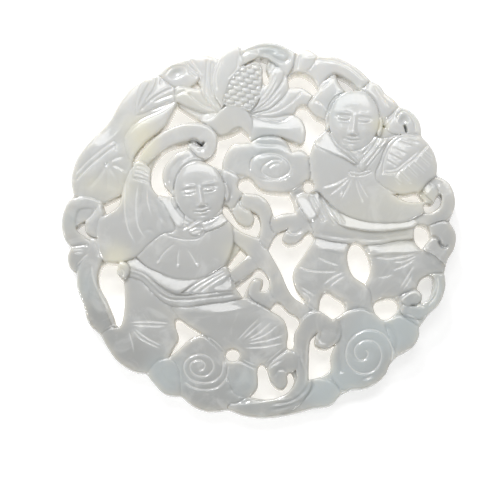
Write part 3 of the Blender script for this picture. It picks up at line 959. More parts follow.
# %% Carve the right boy's robe
form([(3.4, 3.4), (6.2, 4.3), (9.2, 4.6, 1), (13.4, 8), (15.4, 4), (14.6, 0), (13.9, -2.4),
      (12.7, -0.8), (10.7, -3.2), (8, -4.6), (5.8, -3.2), (6.2, -1.3), (7.3, -0.2, 1), (4.8, -1.6),
      (3, 0)], 4.55, drop=0.22)
cut([(7.2, -0.1), (8.3, -1.3), (10, -1.2), (11, -0.2)], depth=0.18, ends=0.4)
form([(12.6, 9.6, 1), (15, 9.8), (19, 5.2), (27.5, 2), (38.4, 2.4), (40.2, 0.8), (39.4, -2.4),
      (38.4, -2.9, 1), (34.4, -3.3), (31, -4.1), (27.6, -4.4, 1), (22.2, -3.9, 1), (18, -3.3),
      (14.2, -2.2, 1), (13, 1), (10.8, 5), (9.6, 8.4)], 4.45, drop=0.1, rim=0.35, bulge=0.05,
     groove=0.02)
form([(15.4, 10), (18.6, 6.6), (23, 4), (27.5, 2.6), (32.4, 2.2), (38.4, 2.8), (40.4, 1.8),
      (39.6, 0.5), (34.8, -0.5), (29.9, -0.9), (25.1, -0.4), (20.8, 0.8), (18, 4)], 4.62, drop=0.12,
     rim=0.2, bulge=0, lean=(0, -0.14), groove=0.03)
tip([(9, 10), (15.2, 10.2), (16, 6), (13.6, 1.6), (10.6, 3.4), (9, 6.4)], (0.02, -0.14), blend=0.5)
cut([(12.6, 9), (14.2, 5.4), (16.4, 1.6)], [(13.6, 8.8), (15.4, 5.4), (17.2, 2)],
    [(15.2, 8.6), (17.4, 4.6), (19.4, 1)], [(17, 7.6), (19.2, 4), (21, 0.9)],
    [(18, 6.6), (20.2, 3.6), (21.8, 1.2)], depth=0.18)
cut([(14.6, -1.2), (18.2, -1.9), (22.4, -2.5), (27.6, -2.9), (31, -2.8), (35, -2.1), (38.6, -1.6)],
    width=0.5, depth=0.08)
carved("the right boy's robe")

# %% [markdown]
# The wide sleeve is the highest of the clothes, with a tip that droops to the left. Over it lie the
# two flaps of the collar, which cross on the chest.

# %% Carve the right boy's sleeve and collar
form([(16.9, 26.6, 1), (14.2, 23.4), (12.8, 19.4, 1), (13.2, 14), (12.8, 9.6, 1), (15, 9.8),
      (17, 7.6), (19.4, 5.2), (23, 3), (27.5, 1.7), (32.4, 1.3), (37.6, 1.8), (40.6, 3.2),
      (42.2, 4.4), (42.3, 7.1, 1), (38, 7.2), (35, 9), (33.6, 12), (33, 15), (33.4, 18.4), (35, 22),
      (36, 25), (33.4, 27.6), (25, 22)], 4.95, drop=0.22, rim=0.4, bulge=0.06, reach=4, groove=0.03)
form([(13.9, 23.2), (15.2, 25.2), (16.4, 26.4, 1), (18.4, 25.6), (19.6, 22.4), (22.4, 20),
      (24.8, 18.2), (24.6, 17), (22, 18.4), (18, 20.2), (15, 21.6)], 5.05, rim=0.25, bulge=0,
     lean=(0.04, -0.14), groove=0.03)
form([(17.6, 26.4, 1), (19.2, 25.6), (21, 22.4), (23.8, 19.8), (25.9, 17.4, 1), (25.2, 16.9),
      (22.4, 19.4), (19.4, 22.2)], 5.1, groove=0.05)
form([(34.4, 26.2, 1), (31.4, 21.3), (28.4, 17.3), (26.4, 14.8, 1), (25.2, 16.4), (26.8, 18.8),
      (29.2, 21.9), (32, 26.6)], 5.1, groove=0.05)
tip([(29.6, 22), (31.6, 26.4), (34.2, 26.2), (31.8, 21.8)], (0, -0.12), blend=0.2)
carved("the right boy's sleeve")

# %% [markdown]
# Fine lines run down both flaps of the collar. A small knot ties the robe under it, and long folds
# spread from the knot, each with a bead of light at its end.

# %% Cut the folds of the collar and the sleeve
cut([(20.6, 23.4), (22.8, 21.2), (25.6, 19.2)], [(22.6, 22.4), (24.2, 20.8), (25.8, 19.8)],
    [(31, 24.6), (28.8, 21.2), (26.6, 18.8)], [(28.6, 22.6), (27.4, 20.8), (26.2, 19.6)],
    [(32.4, 24), (29.6, 20), (27, 16.6)], depth=0.15, ends=0.6)
form([(22.8, 14.6), (25, 13.8), (28.8, 14.9, 1), (28.4, 15.6), (25.8, 14.9), (23.2, 15.3)], 5,
     drop=0.14, rim=0.25, groove=0.02)
cut([(16.2, 11), (19.6, 12), (23, 14)], [(23.6, 13.6), (22.6, 11), (20.6, 7.4)],
    [(24.4, 13.4), (25.2, 10), (26.8, 6.2)], [(25, 13.4), (26.6, 10), (28, 7.8)],
    [(23.2, 13.6), (20.4, 10.8), (17.8, 8.8)], width=0.17, depth=0.07, ends=1.3)
crest([(16.4, 10.6), (18.4, 11), (20.4, 11.8)], [(21.4, 9.6), (20.6, 8)], [(26, 7.6), (26.6, 6.4)],
      ends=0.5)
pleat([(31.2, 15), (32.6, 11.8), (35.6, 9.4)])
carved("the collar's folds")

# %% [markdown]
# The round leaf is a form with two midribs and a row of short pleats at each side of them, which
# stand for its veins. The pleats end before the rim, so that the rim stays smooth.

# %% Carve the round leaf that the boy holds
form([(29.6, 13.6), (30.9, 18), (32.4, 22), (34.4, 24.2), (37, 25.3), (41.4, 24.9, 1), (44.5, 21.2),
      (45.7, 17), (45.5, 14.2, 1), (43, 12.4), (40.6, 9.6), (36, 9), (32.4, 10.6)], 4.85, drop=0.22,
     rim=0.35, reach=3, lean=(-0.02, 0))
cut([(31.4, 14.2), (32, 18), (33.6, 21.8), (36.4, 24.3), (40.4, 24.2)], width=0.19, depth=0.1)
cut([(31.8, 14.7), (34.8, 14.8), (38, 17.2), (39.5, 18.3), (41.2, 20.2), (43.2, 22.4)],
    [(31.8, 15.5), (34.6, 15.6), (37.6, 17.9), (40.6, 20.6)], [(36.4, 16), (34.4, 13.4)], width=0.2,
    depth=0.09)
pleat([(37.6, 24.1), (40.9, 23.2)], [(35.5, 23.5), (39.1, 22.2)], [(34, 21.9), (37.9, 20)],
      [(33, 20.3), (36.7, 18.2)], [(32.5, 18.5), (35.6, 16.4)], [(41.8, 20.7), (44.4, 18.4)],
      [(40.6, 19.4), (43.8, 16.4)], [(39.1, 17.9), (42.6, 14.6)], [(37.6, 16.6), (40.8, 13.4)],
      [(35.7, 15.3), (38.8, 12)], [(34.4, 13.6), (36.4, 11.6)], width=0.24, height=0.08, ends=0.7)
carved("the round leaf")

# %% [markdown]
# ## Hair, curls and hoods
#
# The left boy wears the hair in side locks that frame the head. They are soft crescents, highest
# next to the head and falling off to the rim.

# %% Carve the left boy's hair
form([(-21.4, 8.2, 1), (-24.2, 11.6), (-24.5, 15.8), (-21.6, 20), (-18.2, 21.5), (-15.8, 19.4),
      (-13.6, 17.6), (-18, 14), (-20.8, 11)], 4.6, drop=0.24, rim=0.45)
form([(-21.6, 8.4), (-21.4, 12), (-19.4, 16), (-14.4, 18.1, 1), (-9.2, 15.8, 1), (-8.2, 12),
      (-8.2, 7), (-11, 5.6), (-15.6, 7), (-19.4, 5.6)], 4.5)
form([(-9.6, 16.2, 1), (-8.2, 15.8), (-5.2, 14), (-4.6, 11.4), (-4, 9.6), (-5.2, 7.4), (-6.6, 5.4),
      (-9, 5.8), (-9.2, 10)], 4.5, drop=0.22)
cut([(-8, 14), (-6.8, 11), (-7.2, 8)], [(-22.8, 12), (-22.4, 15.6), (-19.6, 18.8)], width=0.35,
    depth=0.08)
carved("the left boy's hair")

# %% [markdown]
# The right boy has a lobed hood behind the head and a curl over the round leaf. The curl is
# hollowed and then notched, where the real one has a slot too narrow to tell from a shadow.

# %% Carve the right boy's hood and curl
form([(29.4, 25), (31, 31), (35.4, 32.4), (37, 28), (35.4, 25)], 4.45, drop=0.22, groove=0)
form([(13.9, 35.6, 1), (15.2, 38), (17.4, 40.2), (19.4, 40.7), (20.5, 39, 1), (22.2, 36.8, 1),
      (21, 34), (18.4, 31), (17.2, 28.4), (14.6, 30), (12.4, 33)], 4.5, drop=0.16, rim=0.45,
     groove=0)
form([(22.2, 36.9, 1), (25.7, 37, 1), (29, 39.9, 1), (31.2, 38.7), (32.5, 36.5, 1), (34.8, 34.8),
      (36.2, 32.7, 1), (33.4, 30), (31.2, 26.6), (29, 25), (20, 25.4), (17, 26.4), (17.2, 31),
      (19, 35)], 4.5, drop=0.16, rim=0.4, groove=0)
form([(28.4, 39.6, 1), (31.2, 38.7), (32.5, 36.5, 1), (34.8, 34.8), (36.2, 32.7, 1), (34, 31),
      (32, 29.4), (30.6, 31), (29.6, 34), (27.4, 37.2)], 4.62, drop=0.12, rim=0.4, groove=0)
form([(33.6, 29.4), (35, 31.9), (36.2, 32.8, 1), (39, 31.6), (41.3, 28.6), (41.7, 24.8, 1),
      (38.4, 25.3), (35.4, 25.2), (32.8, 26.4)], 4.8, drop=0.24, rim=0.4)
cut([(35.2, 29.4), (36.2, 31.2), (38, 30.8), (39.6, 28.6), (40, 26)], depth=0.18)
swell(37, 29, 1.6, 1.9, -0.3, turn=-30)
cut([(37.1, 27.8), (37.5, 26.6), (37.7, 25.6)], width=0.18, depth=1.4, ends=0.3)
cut([(31.2, 27.6), (31.8, 27.4), (32.4, 27.1)], width=0.2, depth=0.7, ends=0.3)
cut([(29.4, 38.4), (31, 35.6), (33.4, 32.4)], [(31.2, 30.8), (32.6, 29.2), (34.6, 30)],
    [(15.8, 37.6), (18, 39.4)], [(14.6, 34.6), (16.4, 33), (17.6, 31)], depth=0.07)
carved("the right boy's hood")


# %% [markdown]
# ## The heads
#
# The faces are plain and calm, on the proportions that drawing books give: the eyes at half the
# head's height, the base of the nose halfway from there to the chin, and the mouth a third of the
# way from the nose to the chin. All places on a face are shares of the head's half width and half
# height, so one function serves both boys. It starts with two strokes: a dab swells or sinks a soft
# oval, and a band does the same along a line across the face.

# %% Two strokes for a face, and the eyes and cheeks
HEAD_HALF = (3.85, 4.7)


def dab(u, v, middle, half_size, height):
    """A soft oval on the face."""
    x, y = (u - middle[0]) / half_size[0], (v - middle[1]) / half_size[1]
    return height * np.exp(-(x**2) - y**2)


def band(v, level, thick, height, share):
    """A ridge or a groove across the face, which fades as share does."""
    return height * share * np.exp(-(((v - level) / thick) ** 2))


def carve_side(face, u, v, side):
    """Add one side's features: brow, socket, eyelids, cheek, nostril and corner of the mouth."""
    outward = u * side
    lid = np.clip(1 - ((outward - 0.4) / 0.23) ** 2, 0, 1)
    brow = 0.2 - 0.3 * (outward - 0.36) ** 2
    face = face + band(v, brow, 0.045, 0.12, np.exp(-(((outward - 0.4) / 0.25) ** 4)))
    face = face + dab(u, v, (side * 0.4, 0.09), (0.28, 0.07), -0.12)
    face = face + band(v, 0, 0.06, 0.13, lid)
    face = face + band(v, -0.02 - 0.03 * lid, 0.03, -0.2, lid**0.4)
    face = face + band(v, -0.1, 0.035, 0.07, lid)
    face = face + dab(u, v, (side * 0.47, -0.36), (0.26, 0.2), 0.1)
    face = face + dab(u, v, (side * 0.15, -0.45), (0.07, 0.06), 0.15)
    return face + dab(u, v, (side * 0.33, -0.65), (0.05, 0.05), -0.06)


print("a head is", 2 * HEAD_HALF[0], "by", 2 * HEAD_HALF[1], "mm")


# %% [markdown]
# The nose is a ridge that widens and rises towards its tip. The lips are two soft bands with a
# seam between them that bends up at its ends, and a shallow groove and a swelling shape the chin.

# %% Draw the nose, the mouth and the chin
def carve_middle(face, u, v):
    """Add the nose, the lips and the chin."""
    bridge = np.clip((0.16 - v) / 0.6, 0, 1)
    length = np.clip((0.2 - v) / 0.1, 0, 1) * np.clip((v + 0.53) / 0.07, 0, 1)
    face = face + length * (0.1 + 0.24 * bridge) * np.exp(-((u / (0.07 + 0.05 * bridge)) ** 2))
    face = face + dab(u, v, (0, -0.43), (0.11, 0.08), 0.12)
    face = face + dab(u, v, (0, -0.56), (0.16, 0.035), -0.05)
    lips = np.clip(1 - (u / 0.3) ** 2, 0, 1)
    seam = -0.675 + 0.5 * u**2
    face = face + band(v, seam + 0.045, 0.035, 0.12, lips)
    face = face + band(v, seam - 0.055, 0.045, 0.14, lips**1.5)
    face = face + band(v, seam, 0.026, -0.2, lips**0.4)
    face = face + dab(u, v, (0, -0.8), (0.16, 0.04), -0.06)
    return face + dab(u, v, (0, -0.88), (0.2, 0.08), 0.08)


print("the mouth lies", round(0.675 * HEAD_HALF[1], 1), "mm under the eyes")


# %% [markdown]
# The head itself is a low, flat dome, since a higher one would stand out of the slab. Its outline
# narrows towards the chin. The ears sit half under it, and a groove with a soft bank beyond it
# sets the head off from the hair.

# %% Carve the heads of both boys
HEAD_LEVEL = 4.95
HEAD_DOME = 0.32
EAR_LEVEL = 4.8


def head(x, y, tilt):
    """Carve a head round a chart point, with its tilt in degrees."""
    global relief
    half_w, half_h = HEAD_HALF
    a = math.radians(tilt)
    dx, dy = X - x * CHART[0], Y - y * CHART[1]
    u = (dx * math.cos(a) + dy * math.sin(a)) / half_w
    v = (dy * math.cos(a) - dx * math.sin(a)) / half_h
    r = np.hypot(u * (1 + 0.07 * np.clip(-v, 0, 1) ** 2), v)
    face = HEAD_LEVEL + HEAD_DOME * np.clip(1 - r**2.6, 0, 1) ** 0.65
    for side in (-1, 1):
        face = carve_side(face, u, v, side)
    face = carve_middle(face, u, v)
    for side in (-1, 1):
        away = np.hypot((u - side * 1.03) / 0.12, (v + 0.14) / 0.3)
        ear = EAR_LEVEL + 0.16 * np.clip(1 - away**2, 0, 1) - 0.2 * np.exp(-((away / 0.5) ** 2))
        relief = np.where(away < 1, np.maximum(relief, ear), relief)
    ring = (r - 1) * min(half_w, half_h)
    groove = 0.05 * np.exp(-((ring / 0.14) ** 2)) - 0.07 * np.exp(-(((ring - 0.34) / 0.2) ** 2))
    relief = np.where(r < 1, face, relief - groove)


head(-15, 9.8, 8)
head(24.3, 29, -6)
carved("the heads")

# %% [markdown]
# ## Polish and eased edges
#
# Polishing rounds every edge that a finger can reach. One light blur does that for the relief, and
# the rim of the stone falls off in a quarter round at the front and a smaller one at the back.

# %% Polish the relief and round its edges
FRONT_EDGE = 0.28
BACK_EDGE = 0.25
LAST_POLISH = 0.045
BEYOND_EDGE = 0.3
HIGHEST = 5.6
THINNEST = 0.8
relief = soften(relief, stone > -BEYOND_EDGE, LAST_POLISH)
front = relief - FRONT_EDGE * (1 - quarter_round(stone / FRONT_EDGE))
back = BACK_EDGE * (1 - quarter_round(stone / BACK_EDGE))
front = np.maximum(np.minimum(front, HIGHEST), back + THINNEST)
low, high = front[stone > 0].min(), front[stone > 0].max()
print(f"heights run from {low:.2f} to {high:.2f} mm")

# %% [markdown]
# ## From the map to a mesh
#
# A plain grid would leave the rim in steps. Marching squares avoids that: each cell of the grid is
# cut along the true outline, by the signs of the distance at its four corners, so the rim follows
# the saw cuts. First come the points: the samples in the stone, and the places where the outline
# crosses the lines of the grid.

# %% Find the points of the mesh
TINY = 0.2 * STEP
signed = np.where(np.abs(stone) < TINY, np.where(stone < 0, -TINY, TINY), stone)
solid = signed > 0


def crossings(first, second):
    """Where the outline crosses the grid lines from the samples in first to those in second."""
    cross = solid[first] != solid[second]
    share = signed[first][cross] / (signed[first][cross] - signed[second][cross])
    ends = [np.stack([part[cross] for part in (X[side], Y[side], front[side])], axis=1)
            for side in (first, second)]
    return cross, ends[0] + (ends[1] - ends[0]) * share[:, None]


def numbered(mask, start):
    """Number the places where a mask is true from start on, and give all others -1."""
    numbers = np.full(mask.shape, -1)
    numbers[mask] = start + np.arange(mask.sum())
    return numbers


cross_x, points_x = crossings(np.s_[:, :-1], np.s_[:, 1:])
cross_y, points_y = crossings(np.s_[:-1, :], np.s_[1:, :])
points = np.concatenate([np.stack([X[solid], Y[solid], front[solid]], axis=1), points_x, points_y])
on_edges = len(points_x) + len(points_y)
back_z = np.concatenate([back[solid], np.full(on_edges, BACK_EDGE)])
corner_id = numbered(solid, 0)
id_x = numbered(cross_x, solid.sum())
id_y = numbered(cross_y, solid.sum() + len(points_x))
print("the front has", len(points), "points,", on_edges, "of them on its edges")

# %% [markdown]
# Eight points can lie round a cell: its corners 0 to 3 against the clock, and the crossings 4 to 7
# on its four sides. The table says which polygon each pattern of solid corners leaves. The back is
# the same cells turned over, and a strip of wall joins the two.

# %% Cut the cells and join front, back and wall
around = np.stack([corner_id[:-1, :-1], corner_id[:-1, 1:], corner_id[1:, 1:], corner_id[1:, :-1],
                   id_x[:-1, :], id_y[:, 1:], id_x[1:, :], id_y[:, :-1]], axis=-1)
pattern = solid[:-1, :-1] + 2 * solid[:-1, 1:] + 4 * solid[1:, 1:] + 8 * solid[1:, :-1]
POLYGONS = {
    1: [(0, 4, 7)], 2: [(1, 5, 4)], 3: [(0, 1, 5, 7)], 4: [(2, 6, 5)], 5: [(0, 4, 7), (2, 6, 5)],
    6: [(1, 2, 6, 4)], 7: [(0, 1, 2, 6, 7)], 8: [(3, 7, 6)], 9: [(0, 4, 6, 3)],
    10: [(1, 5, 4), (3, 7, 6)], 11: [(0, 1, 5, 6, 3)], 12: [(2, 3, 7, 5)], 13: [(0, 4, 5, 2, 3)],
    14: [(1, 2, 3, 7, 4)], 15: [(0, 1, 2, 3)],
}
FIRST_CROSSING = 4
triangles, edges = [], []
for code, polygons in POLYGONS.items():
    cells = around[pattern == code]
    for polygon in polygons:
        for k in range(1, len(polygon) - 1):
            triangles.append(cells[:, [polygon[0], polygon[k], polygon[k + 1]]])
        for a, b in zip(polygon, polygon[1:] + polygon[:1]):
            if min(a, b) >= FIRST_CROSSING:
                edges.append(cells[:, [a, b]])
triangles = np.concatenate(triangles)
start, end = np.concatenate(edges).T
count = len(points)
wall = np.concatenate([np.column_stack([end, start, start + count]),
                       np.column_stack([end, start + count, end + count])])
all_points = np.concatenate([points, np.column_stack([points[:, :2], back_z])]) / 1000
all_triangles = np.concatenate([triangles, triangles[:, ::-1] + count, wall])
print("the carved mesh has", len(all_points), "points and", len(all_triangles), "triangles")


# %% [markdown]
# The mesh goes to Blender as flat arrays, which is far quicker than a list of faces. It holds more
# triangles than a viewer needs, above all on the flat back, so Decimate merges those that lie in
# one plane first and keeps the rest for grooves and rims.

# %% Make the mesh and thin it
def mesh_from_triangles(name, spots, faces):
    mesh = bpy.data.meshes.new(name)
    mesh.vertices.add(len(spots))
    mesh.vertices.foreach_set("co", spots.astype(np.float32).ravel())
    mesh.loops.add(faces.size)
    mesh.loops.foreach_set("vertex_index", faces.astype(np.int32).ravel())
    mesh.polygons.add(len(faces))
    mesh.polygons.foreach_set("loop_start", np.arange(0, faces.size, 3, dtype=np.int32))
    mesh.update(calc_edges=True)
    mesh.validate()
    return mesh


TRIANGLES = 172000
dense = bpy.data.objects.new("dense", mesh_from_triangles("dense", all_points, all_triangles))
bpy.context.scene.collection.objects.link(dense)
thin = dense.modifiers.new("thin", "DECIMATE")
thin.ratio = min(1, TRIANGLES / len(all_triangles))
evaluated = dense.evaluated_get(bpy.context.evaluated_depsgraph_get())
roundel = bpy.data.objects.new("jade_roundel", bpy.data.meshes.new_from_object(evaluated))
roundel.data.name = "jade_roundel"
bpy.context.scene.collection.objects.link(roundel)
bpy.data.objects.remove(dense)
print("thinned to", len(roundel.data.polygons), "triangles")

# %% [markdown]
# Thinning leaves a few huge triangles on the flat back. They are divided again, so that the colours
# stored on the points of the mesh can change smoothly across it. Shading is then smooth, except
# where the surface folds by more than the crease angle, at the eased edges.

# %% Divide the long triangles of the back
LONGEST = 0.0013
ROUNDS = 6
CREASE = math.radians(50)
work = bmesh.new()
work.from_mesh(roundel.data)
for _ in range(ROUNDS):
    long_edges = [edge for edge in work.edges if edge.calc_length() > LONGEST
                  and max(end.co.z for end in edge.verts) < BACK_EDGE / 1000]
    bmesh.ops.subdivide_edges(work, edges=long_edges, cuts=1)
    bmesh.ops.triangulate(work, faces=[face for face in work.faces if len(face.verts) > 3])
work.to_mesh(roundel.data)
work.free()
roundel.data.shade_smooth()
roundel.data.set_sharp_from_angle(angle=CREASE)
print("the finished mesh has", len(roundel.data.polygons), "triangles")

# %% [markdown]
# ## Its place in the model
#
# The whole pendant is one stone, so one mesh stands for the one solid of the CAD model. It moves
# with the root, as nothing on it moves by itself, and it takes the slot of the white jade.

# %% Put it in the frame
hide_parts("jade_plaque")
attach(roundel, "root")
print(roundel.name, "stands for the CAD plaque, in the slot of the white jade")


# %% [markdown]
# ## Shader maths in plain Python
#
# A material is easier to read as a formula than as a web of nodes. `Value` wraps a socket, and its
# operators add the Math nodes, also with a plain number on their left, as in `0.16 + 0.2 * matt`.

# %% A value that can be calculated with
class Value:
    """A number that varies over a surface."""

    def __init__(self, shader, socket):
        self.shader = shader
        self.socket = socket

    def math(self, operation, first, second):
        node = self.shader.node("ShaderNodeMath", {"operation": operation}, {0: first, 1: second})
        return Value(self.shader, node.outputs[0])

    def __add__(self, other):
        return self.math("ADD", self, other)

    def __sub__(self, other):
        return self.math("SUBTRACT", self, other)

    def __mul__(self, other):
        return self.math("MULTIPLY", self, other)

    def __rsub__(self, other):
        return self.math("SUBTRACT", other, self)

    __radd__ = __add__
    __rmul__ = __mul__


# %% [markdown]
# Every node comes from `Shader.node`, which takes the node's type, its settings and the values or
# links of its sockets. The methods under it name the few kinds of node that the jade needs often.
# Colours go through a Mix node, because a Math node would turn them grey.

# %% A shader that makes its own nodes
class Shader:
    """A node material that is built from top to bottom."""

    def __init__(self, name):
        self.material = bpy.data.materials.new(name)
        self.material.use_nodes = True
        self.tree = self.material.node_tree
        self.tree.nodes.clear()

    def node(self, kind, settings, sockets):
        """A node of a kind: its settings first, and then its sockets."""
        node = self.tree.nodes.new(kind)
        for name, value in settings.items():
            setattr(node, name, value)
        for name, value in sockets.items():
            if isinstance(value, Value):
                value = value.socket
            if isinstance(value, bpy.types.NodeSocket):
                self.tree.links.new(value, node.inputs[name])
            else:
                node.inputs[name].default_value = value
        return node

    def place(self):
        """Where a point lies on the object itself."""
        return self.node("ShaderNodeTexCoord", {}, {}).outputs["Object"]

    def noise(self, place, scale, detail, roughness=0.5, distortion=0.0):
        found = self.node("ShaderNodeTexNoise", {}, {
            "Vector": place, "Scale": scale, "Detail": detail, "Roughness": roughness,
            "Distortion": distortion,
        })
        return Value(self, found.outputs["Fac"])

    def stored(self, name):
        """A number that is kept on the points of the mesh."""
        found = self.node("ShaderNodeAttribute", {"attribute_name": name}, {})
        return Value(self, found.outputs["Fac"])

    def step(self, value, start, end):
        """A smooth step from 0 where value is start to 1 where it is end."""
        found = self.node("ShaderNodeMapRange", {"interpolation_type": "SMOOTHSTEP"},
                          {"Value": value, "From Min": start, "From Max": end})
        return Value(self, found.outputs["Result"])

    def mix(self, share, first, second):
        """A colour that goes from first to second as share goes from 0 to 1."""
        found = self.node("ShaderNodeMix", {"data_type": "RGBA"},
                          {"Factor": share, 6: first, 7: second})
        return found.outputs[2]

    def finish(self, settings, sockets):
        """Close the material with a Principled node, and give it back."""
        skin = self.node("ShaderNodeBsdfPrincipled", settings, sockets)
        self.node("ShaderNodeOutputMaterial", {}, {"Surface": skin.outputs[0]})
        return self.material


# %% [markdown]
# ## What the stone is like where
#
# Jade is milky, and light that enters near a wall leaves through it again, so the walls of the gaps
# look pale and warm. The outer side of the pendant stays darker, as it has only one wall. Both are
# numbers that are looked up in the height map for every point of the mesh and stored on it.

# %% Store how near each point is to a wall
WALL_REACH = 1.1
WALL_TOP, WALL_BLEND = 4.6, 3
OUTER_START, OUTER_BLEND = 0.89, 0.05
TOP_SHARE = 0.35
spots = np.empty(len(roundel.data.vertices) * 3, np.float32)
roundel.data.vertices.foreach_get("co", spots)
spots = spots.reshape(-1, 3) * 1000


def nearest_sample(values, grid):
    """The number of the grid line that is nearest to each value."""
    return np.clip(((values - grid[0]) / STEP).round().astype(int), 0, len(grid) - 1)


def store(name, values):
    """Keep a number for every point of the mesh, for the material to read."""
    attribute = roundel.data.attributes.new(name, "FLOAT", "POINT")
    attribute.data.foreach_set("value", values.astype(np.float32))
    print(name, "runs from", round(float(values.min()), 2), "to", round(float(values.max()), 2))


at = nearest_sample(spots[:, 1], grid_y), nearest_sample(spots[:, 0], grid_x)
near_wall = np.clip(1 - stone[at] / WALL_REACH, 0, 1)
lower_down = np.clip((WALL_TOP - spots[:, 2]) / WALL_BLEND, 0, 1)
middle_out = np.hypot(spots[:, 0] / (SIZE[0] / 2), spots[:, 1] / (SIZE[1] / 2))
outer = np.clip((middle_out - OUTER_START) / OUTER_BLEND, 0, 1)
store("thin_wall", near_wall * (TOP_SHARE + (1 - TOP_SHARE) * lower_down * (1 - outer)))
store("outer_side", near_wall * lower_down * outer)


# %% [markdown]
# A slab of jade is never of one tone. This one is denser and so darker towards the bottom and along
# its lower rim. Cooler clouds lie on a few lobes, and creamy ones along the leaf and under the
# sleeve. Each cloud is a soft spot with a chart place, a size and a strength, where a negative
# strength is a cool one. The engraved lines are stored too, to be left matt.

# %% Store the clouds in the stone
CLOUDS = [
    (-24, -39, 7, -0.8), (-3, -40, 6, -0.5), (17, -43, 7, -1), (37, -27, 6, -0.8),
    (28, -28, 8, -0.8), (44, -15, 5, -0.6), (-21, 42, 3, -0.3), (-8, 46, 3, -0.3),
    (26, -40, 8, -0.5), (2, -47, 8, -0.3), (44, -22, 6, -0.5), (-14, -20, 7, -0.15),
    (0, -22, 6, -0.2), (20, -8, 5, -0.3), (4, 48, 6, -0.7), (22, 38, 5, -0.6), (38, 32, 5, -0.4),
    (47, 16, 4, -0.4), (-30, 35, 5, -0.1), (-48, 2, 4, -0.5), (-44, -15, 6, -0.6),
    (19, 31, 4, -0.4), (-36, -33, 7, -0.2), (-24, 6, 5, -0.3), (-36, -8, 5, 1), (-30, 27, 6, 0.8),
    (-19, 36, 5, 0.5), (31, 28, 3, 0.9), (-7, 26, 6, 0.6), (-35, 10, 6, 0.6), (36, 10, 6, 0.6),
    (-28, 20, 5, 0.7), (4, 16, 8, 0.2), (1, 22, 8, -0.8), (10, 42, 4, 0.5), (-5, -5, 5, 0.3),
    (43, 9, 4, 0.4), (-22, 22, 5, -0.3), (24, 3, 9, 0.5), (36, -3, 6, 0.4), (-43, 12, 4, 0.5),
    (-6, 37, 5, 0.3), (-6, -7, 3, 0.4), (20, 40, 3, 0.3), (31, 25, 3, 0.2), (-32, -34, 3, 0.5),
    (-13, 33, 4, 0.4), (-4, 4, 6, 0.5), (-16, -6, 9, 0.25), (-10, -26, 9, 0.2), (-28, -22, 8, 0.15),
    (-22, -22, 4, 0.3),
]
RIM_START, RIM_BLEND, RIM_SHARE = 0.82, 0.15, 0.32
LOWER_BLEND = 20
MATT_POWER = 1.8
mottle = np.zeros(len(spots))
for x, y, size, strength in CLOUDS:
    away = np.hypot(spots[:, 0] / CHART[0] - x, spots[:, 1] / CHART[1] - y) / size
    mottle += strength * np.exp(-(away**2))
store("mottle", np.clip(mottle, -1, 1))
lower_half = np.clip(0.5 - spots[:, 1] / LOWER_BLEND, 0, 1)
lower_rim = np.clip((middle_out - RIM_START) / RIM_BLEND, 0, 1) * lower_half
from_top = np.clip(0.5 - spots[:, 1] / SIZE[1], 0, 1)
store("denser", np.clip(from_top**0.8 + RIM_SHARE * lower_rim, 0, 1))
on_front = spots[:, 2] > 1
store("engraved", engraved[at] ** MATT_POWER * on_front)


# %% [markdown]
# ## White jade
#
# Nephrite is a felt of fine fibres. It is glossy outside and milky inside, so light enters it,
# scatters and leaves a millimetre or two further on, which softens every shadow. Subsurface
# scattering gives the milk, and a thin coat gives the polish. Two sizes of noise make the colour
# drift, and the stored numbers darken, cool, warm or bleach it. The walls glow very faintly, in
# place of the light that a render would need many more bounces to carry through them.

# %% The jade material
PALE, GREY = (0.77, 0.77, 0.755, 1), (0.73, 0.74, 0.73, 1)
DENSE, MILK = (0.43, 0.435, 0.425, 1), (0.76, 0.765, 0.75, 1)
COOL, CREAM = (0.53, 0.572, 0.575, 1), (0.8, 0.775, 0.63, 1)
WALL, OUTER_SIDE = (0.86, 0.81, 0.7, 1), (0.46, 0.46, 0.44, 1)
MATT, GLOW, BLACK = (0.92, 0.92, 0.9, 1), (1, 0.96, 0.9, 1), (0, 0, 0, 1)


def white_jade():
    jade = Shader("white_jade")
    place = jade.place()
    clouds = jade.noise(place, 70, 3, 0.55, 0.6)
    wisps = jade.noise(place, 190, 4, 0.6, 1.4)
    grain = jade.noise(place, 900, 3, 0.5)
    thin_wall, matt = jade.stored("thin_wall"), jade.stored("engraved")
    mottle = jade.stored("mottle") + 0.5 * (clouds - 0.5)
    colour = jade.mix(jade.step(clouds, 0.38, 0.66), PALE, GREY)
    colour = jade.mix(jade.stored("denser"), colour, DENSE)
    colour = jade.mix(jade.step(wisps, 0.46, 0.7) * 0.4, colour, MILK)
    colour = jade.mix(jade.step(mottle, 0, -1.1), colour, COOL)
    colour = jade.mix(jade.step(mottle, 0.1, 1.3), colour, CREAM)
    colour = jade.mix(thin_wall * 0.7, colour, WALL)
    colour = jade.mix(jade.stored("outer_side") * 0.75, colour, OUTER_SIDE)
    colour = jade.mix(matt * 0.5, colour, MATT)
    glow = jade.mix(jade.step(thin_wall, 0.3, 1), BLACK, GLOW)
    fine = jade.node("ShaderNodeBump", {}, {"Strength": 0.08, "Distance": 0.00003, "Height": grain})
    return jade.finish({"subsurface_method": "RANDOM_WALK"}, {
        "Base Color": colour, "Normal": fine.outputs["Normal"], "IOR": 1.6,
        "Roughness": 0.16 + 0.06 * jade.step(wisps, 0.3, 0.7) + 0.2 * matt,
        "Subsurface Weight": 0.7, "Subsurface Radius": (1.0, 0.92, 0.78),
        "Subsurface Scale": 0.0015, "Coat Weight": 0.6, "Coat Roughness": 0.04,
        "Emission Color": glow, "Emission Strength": 0.09,
    })


roundel.data.materials.clear()
roundel.data.materials.append(white_jade())
print("the jade has", len(roundel.data.materials[0].node_tree.nodes), "nodes")

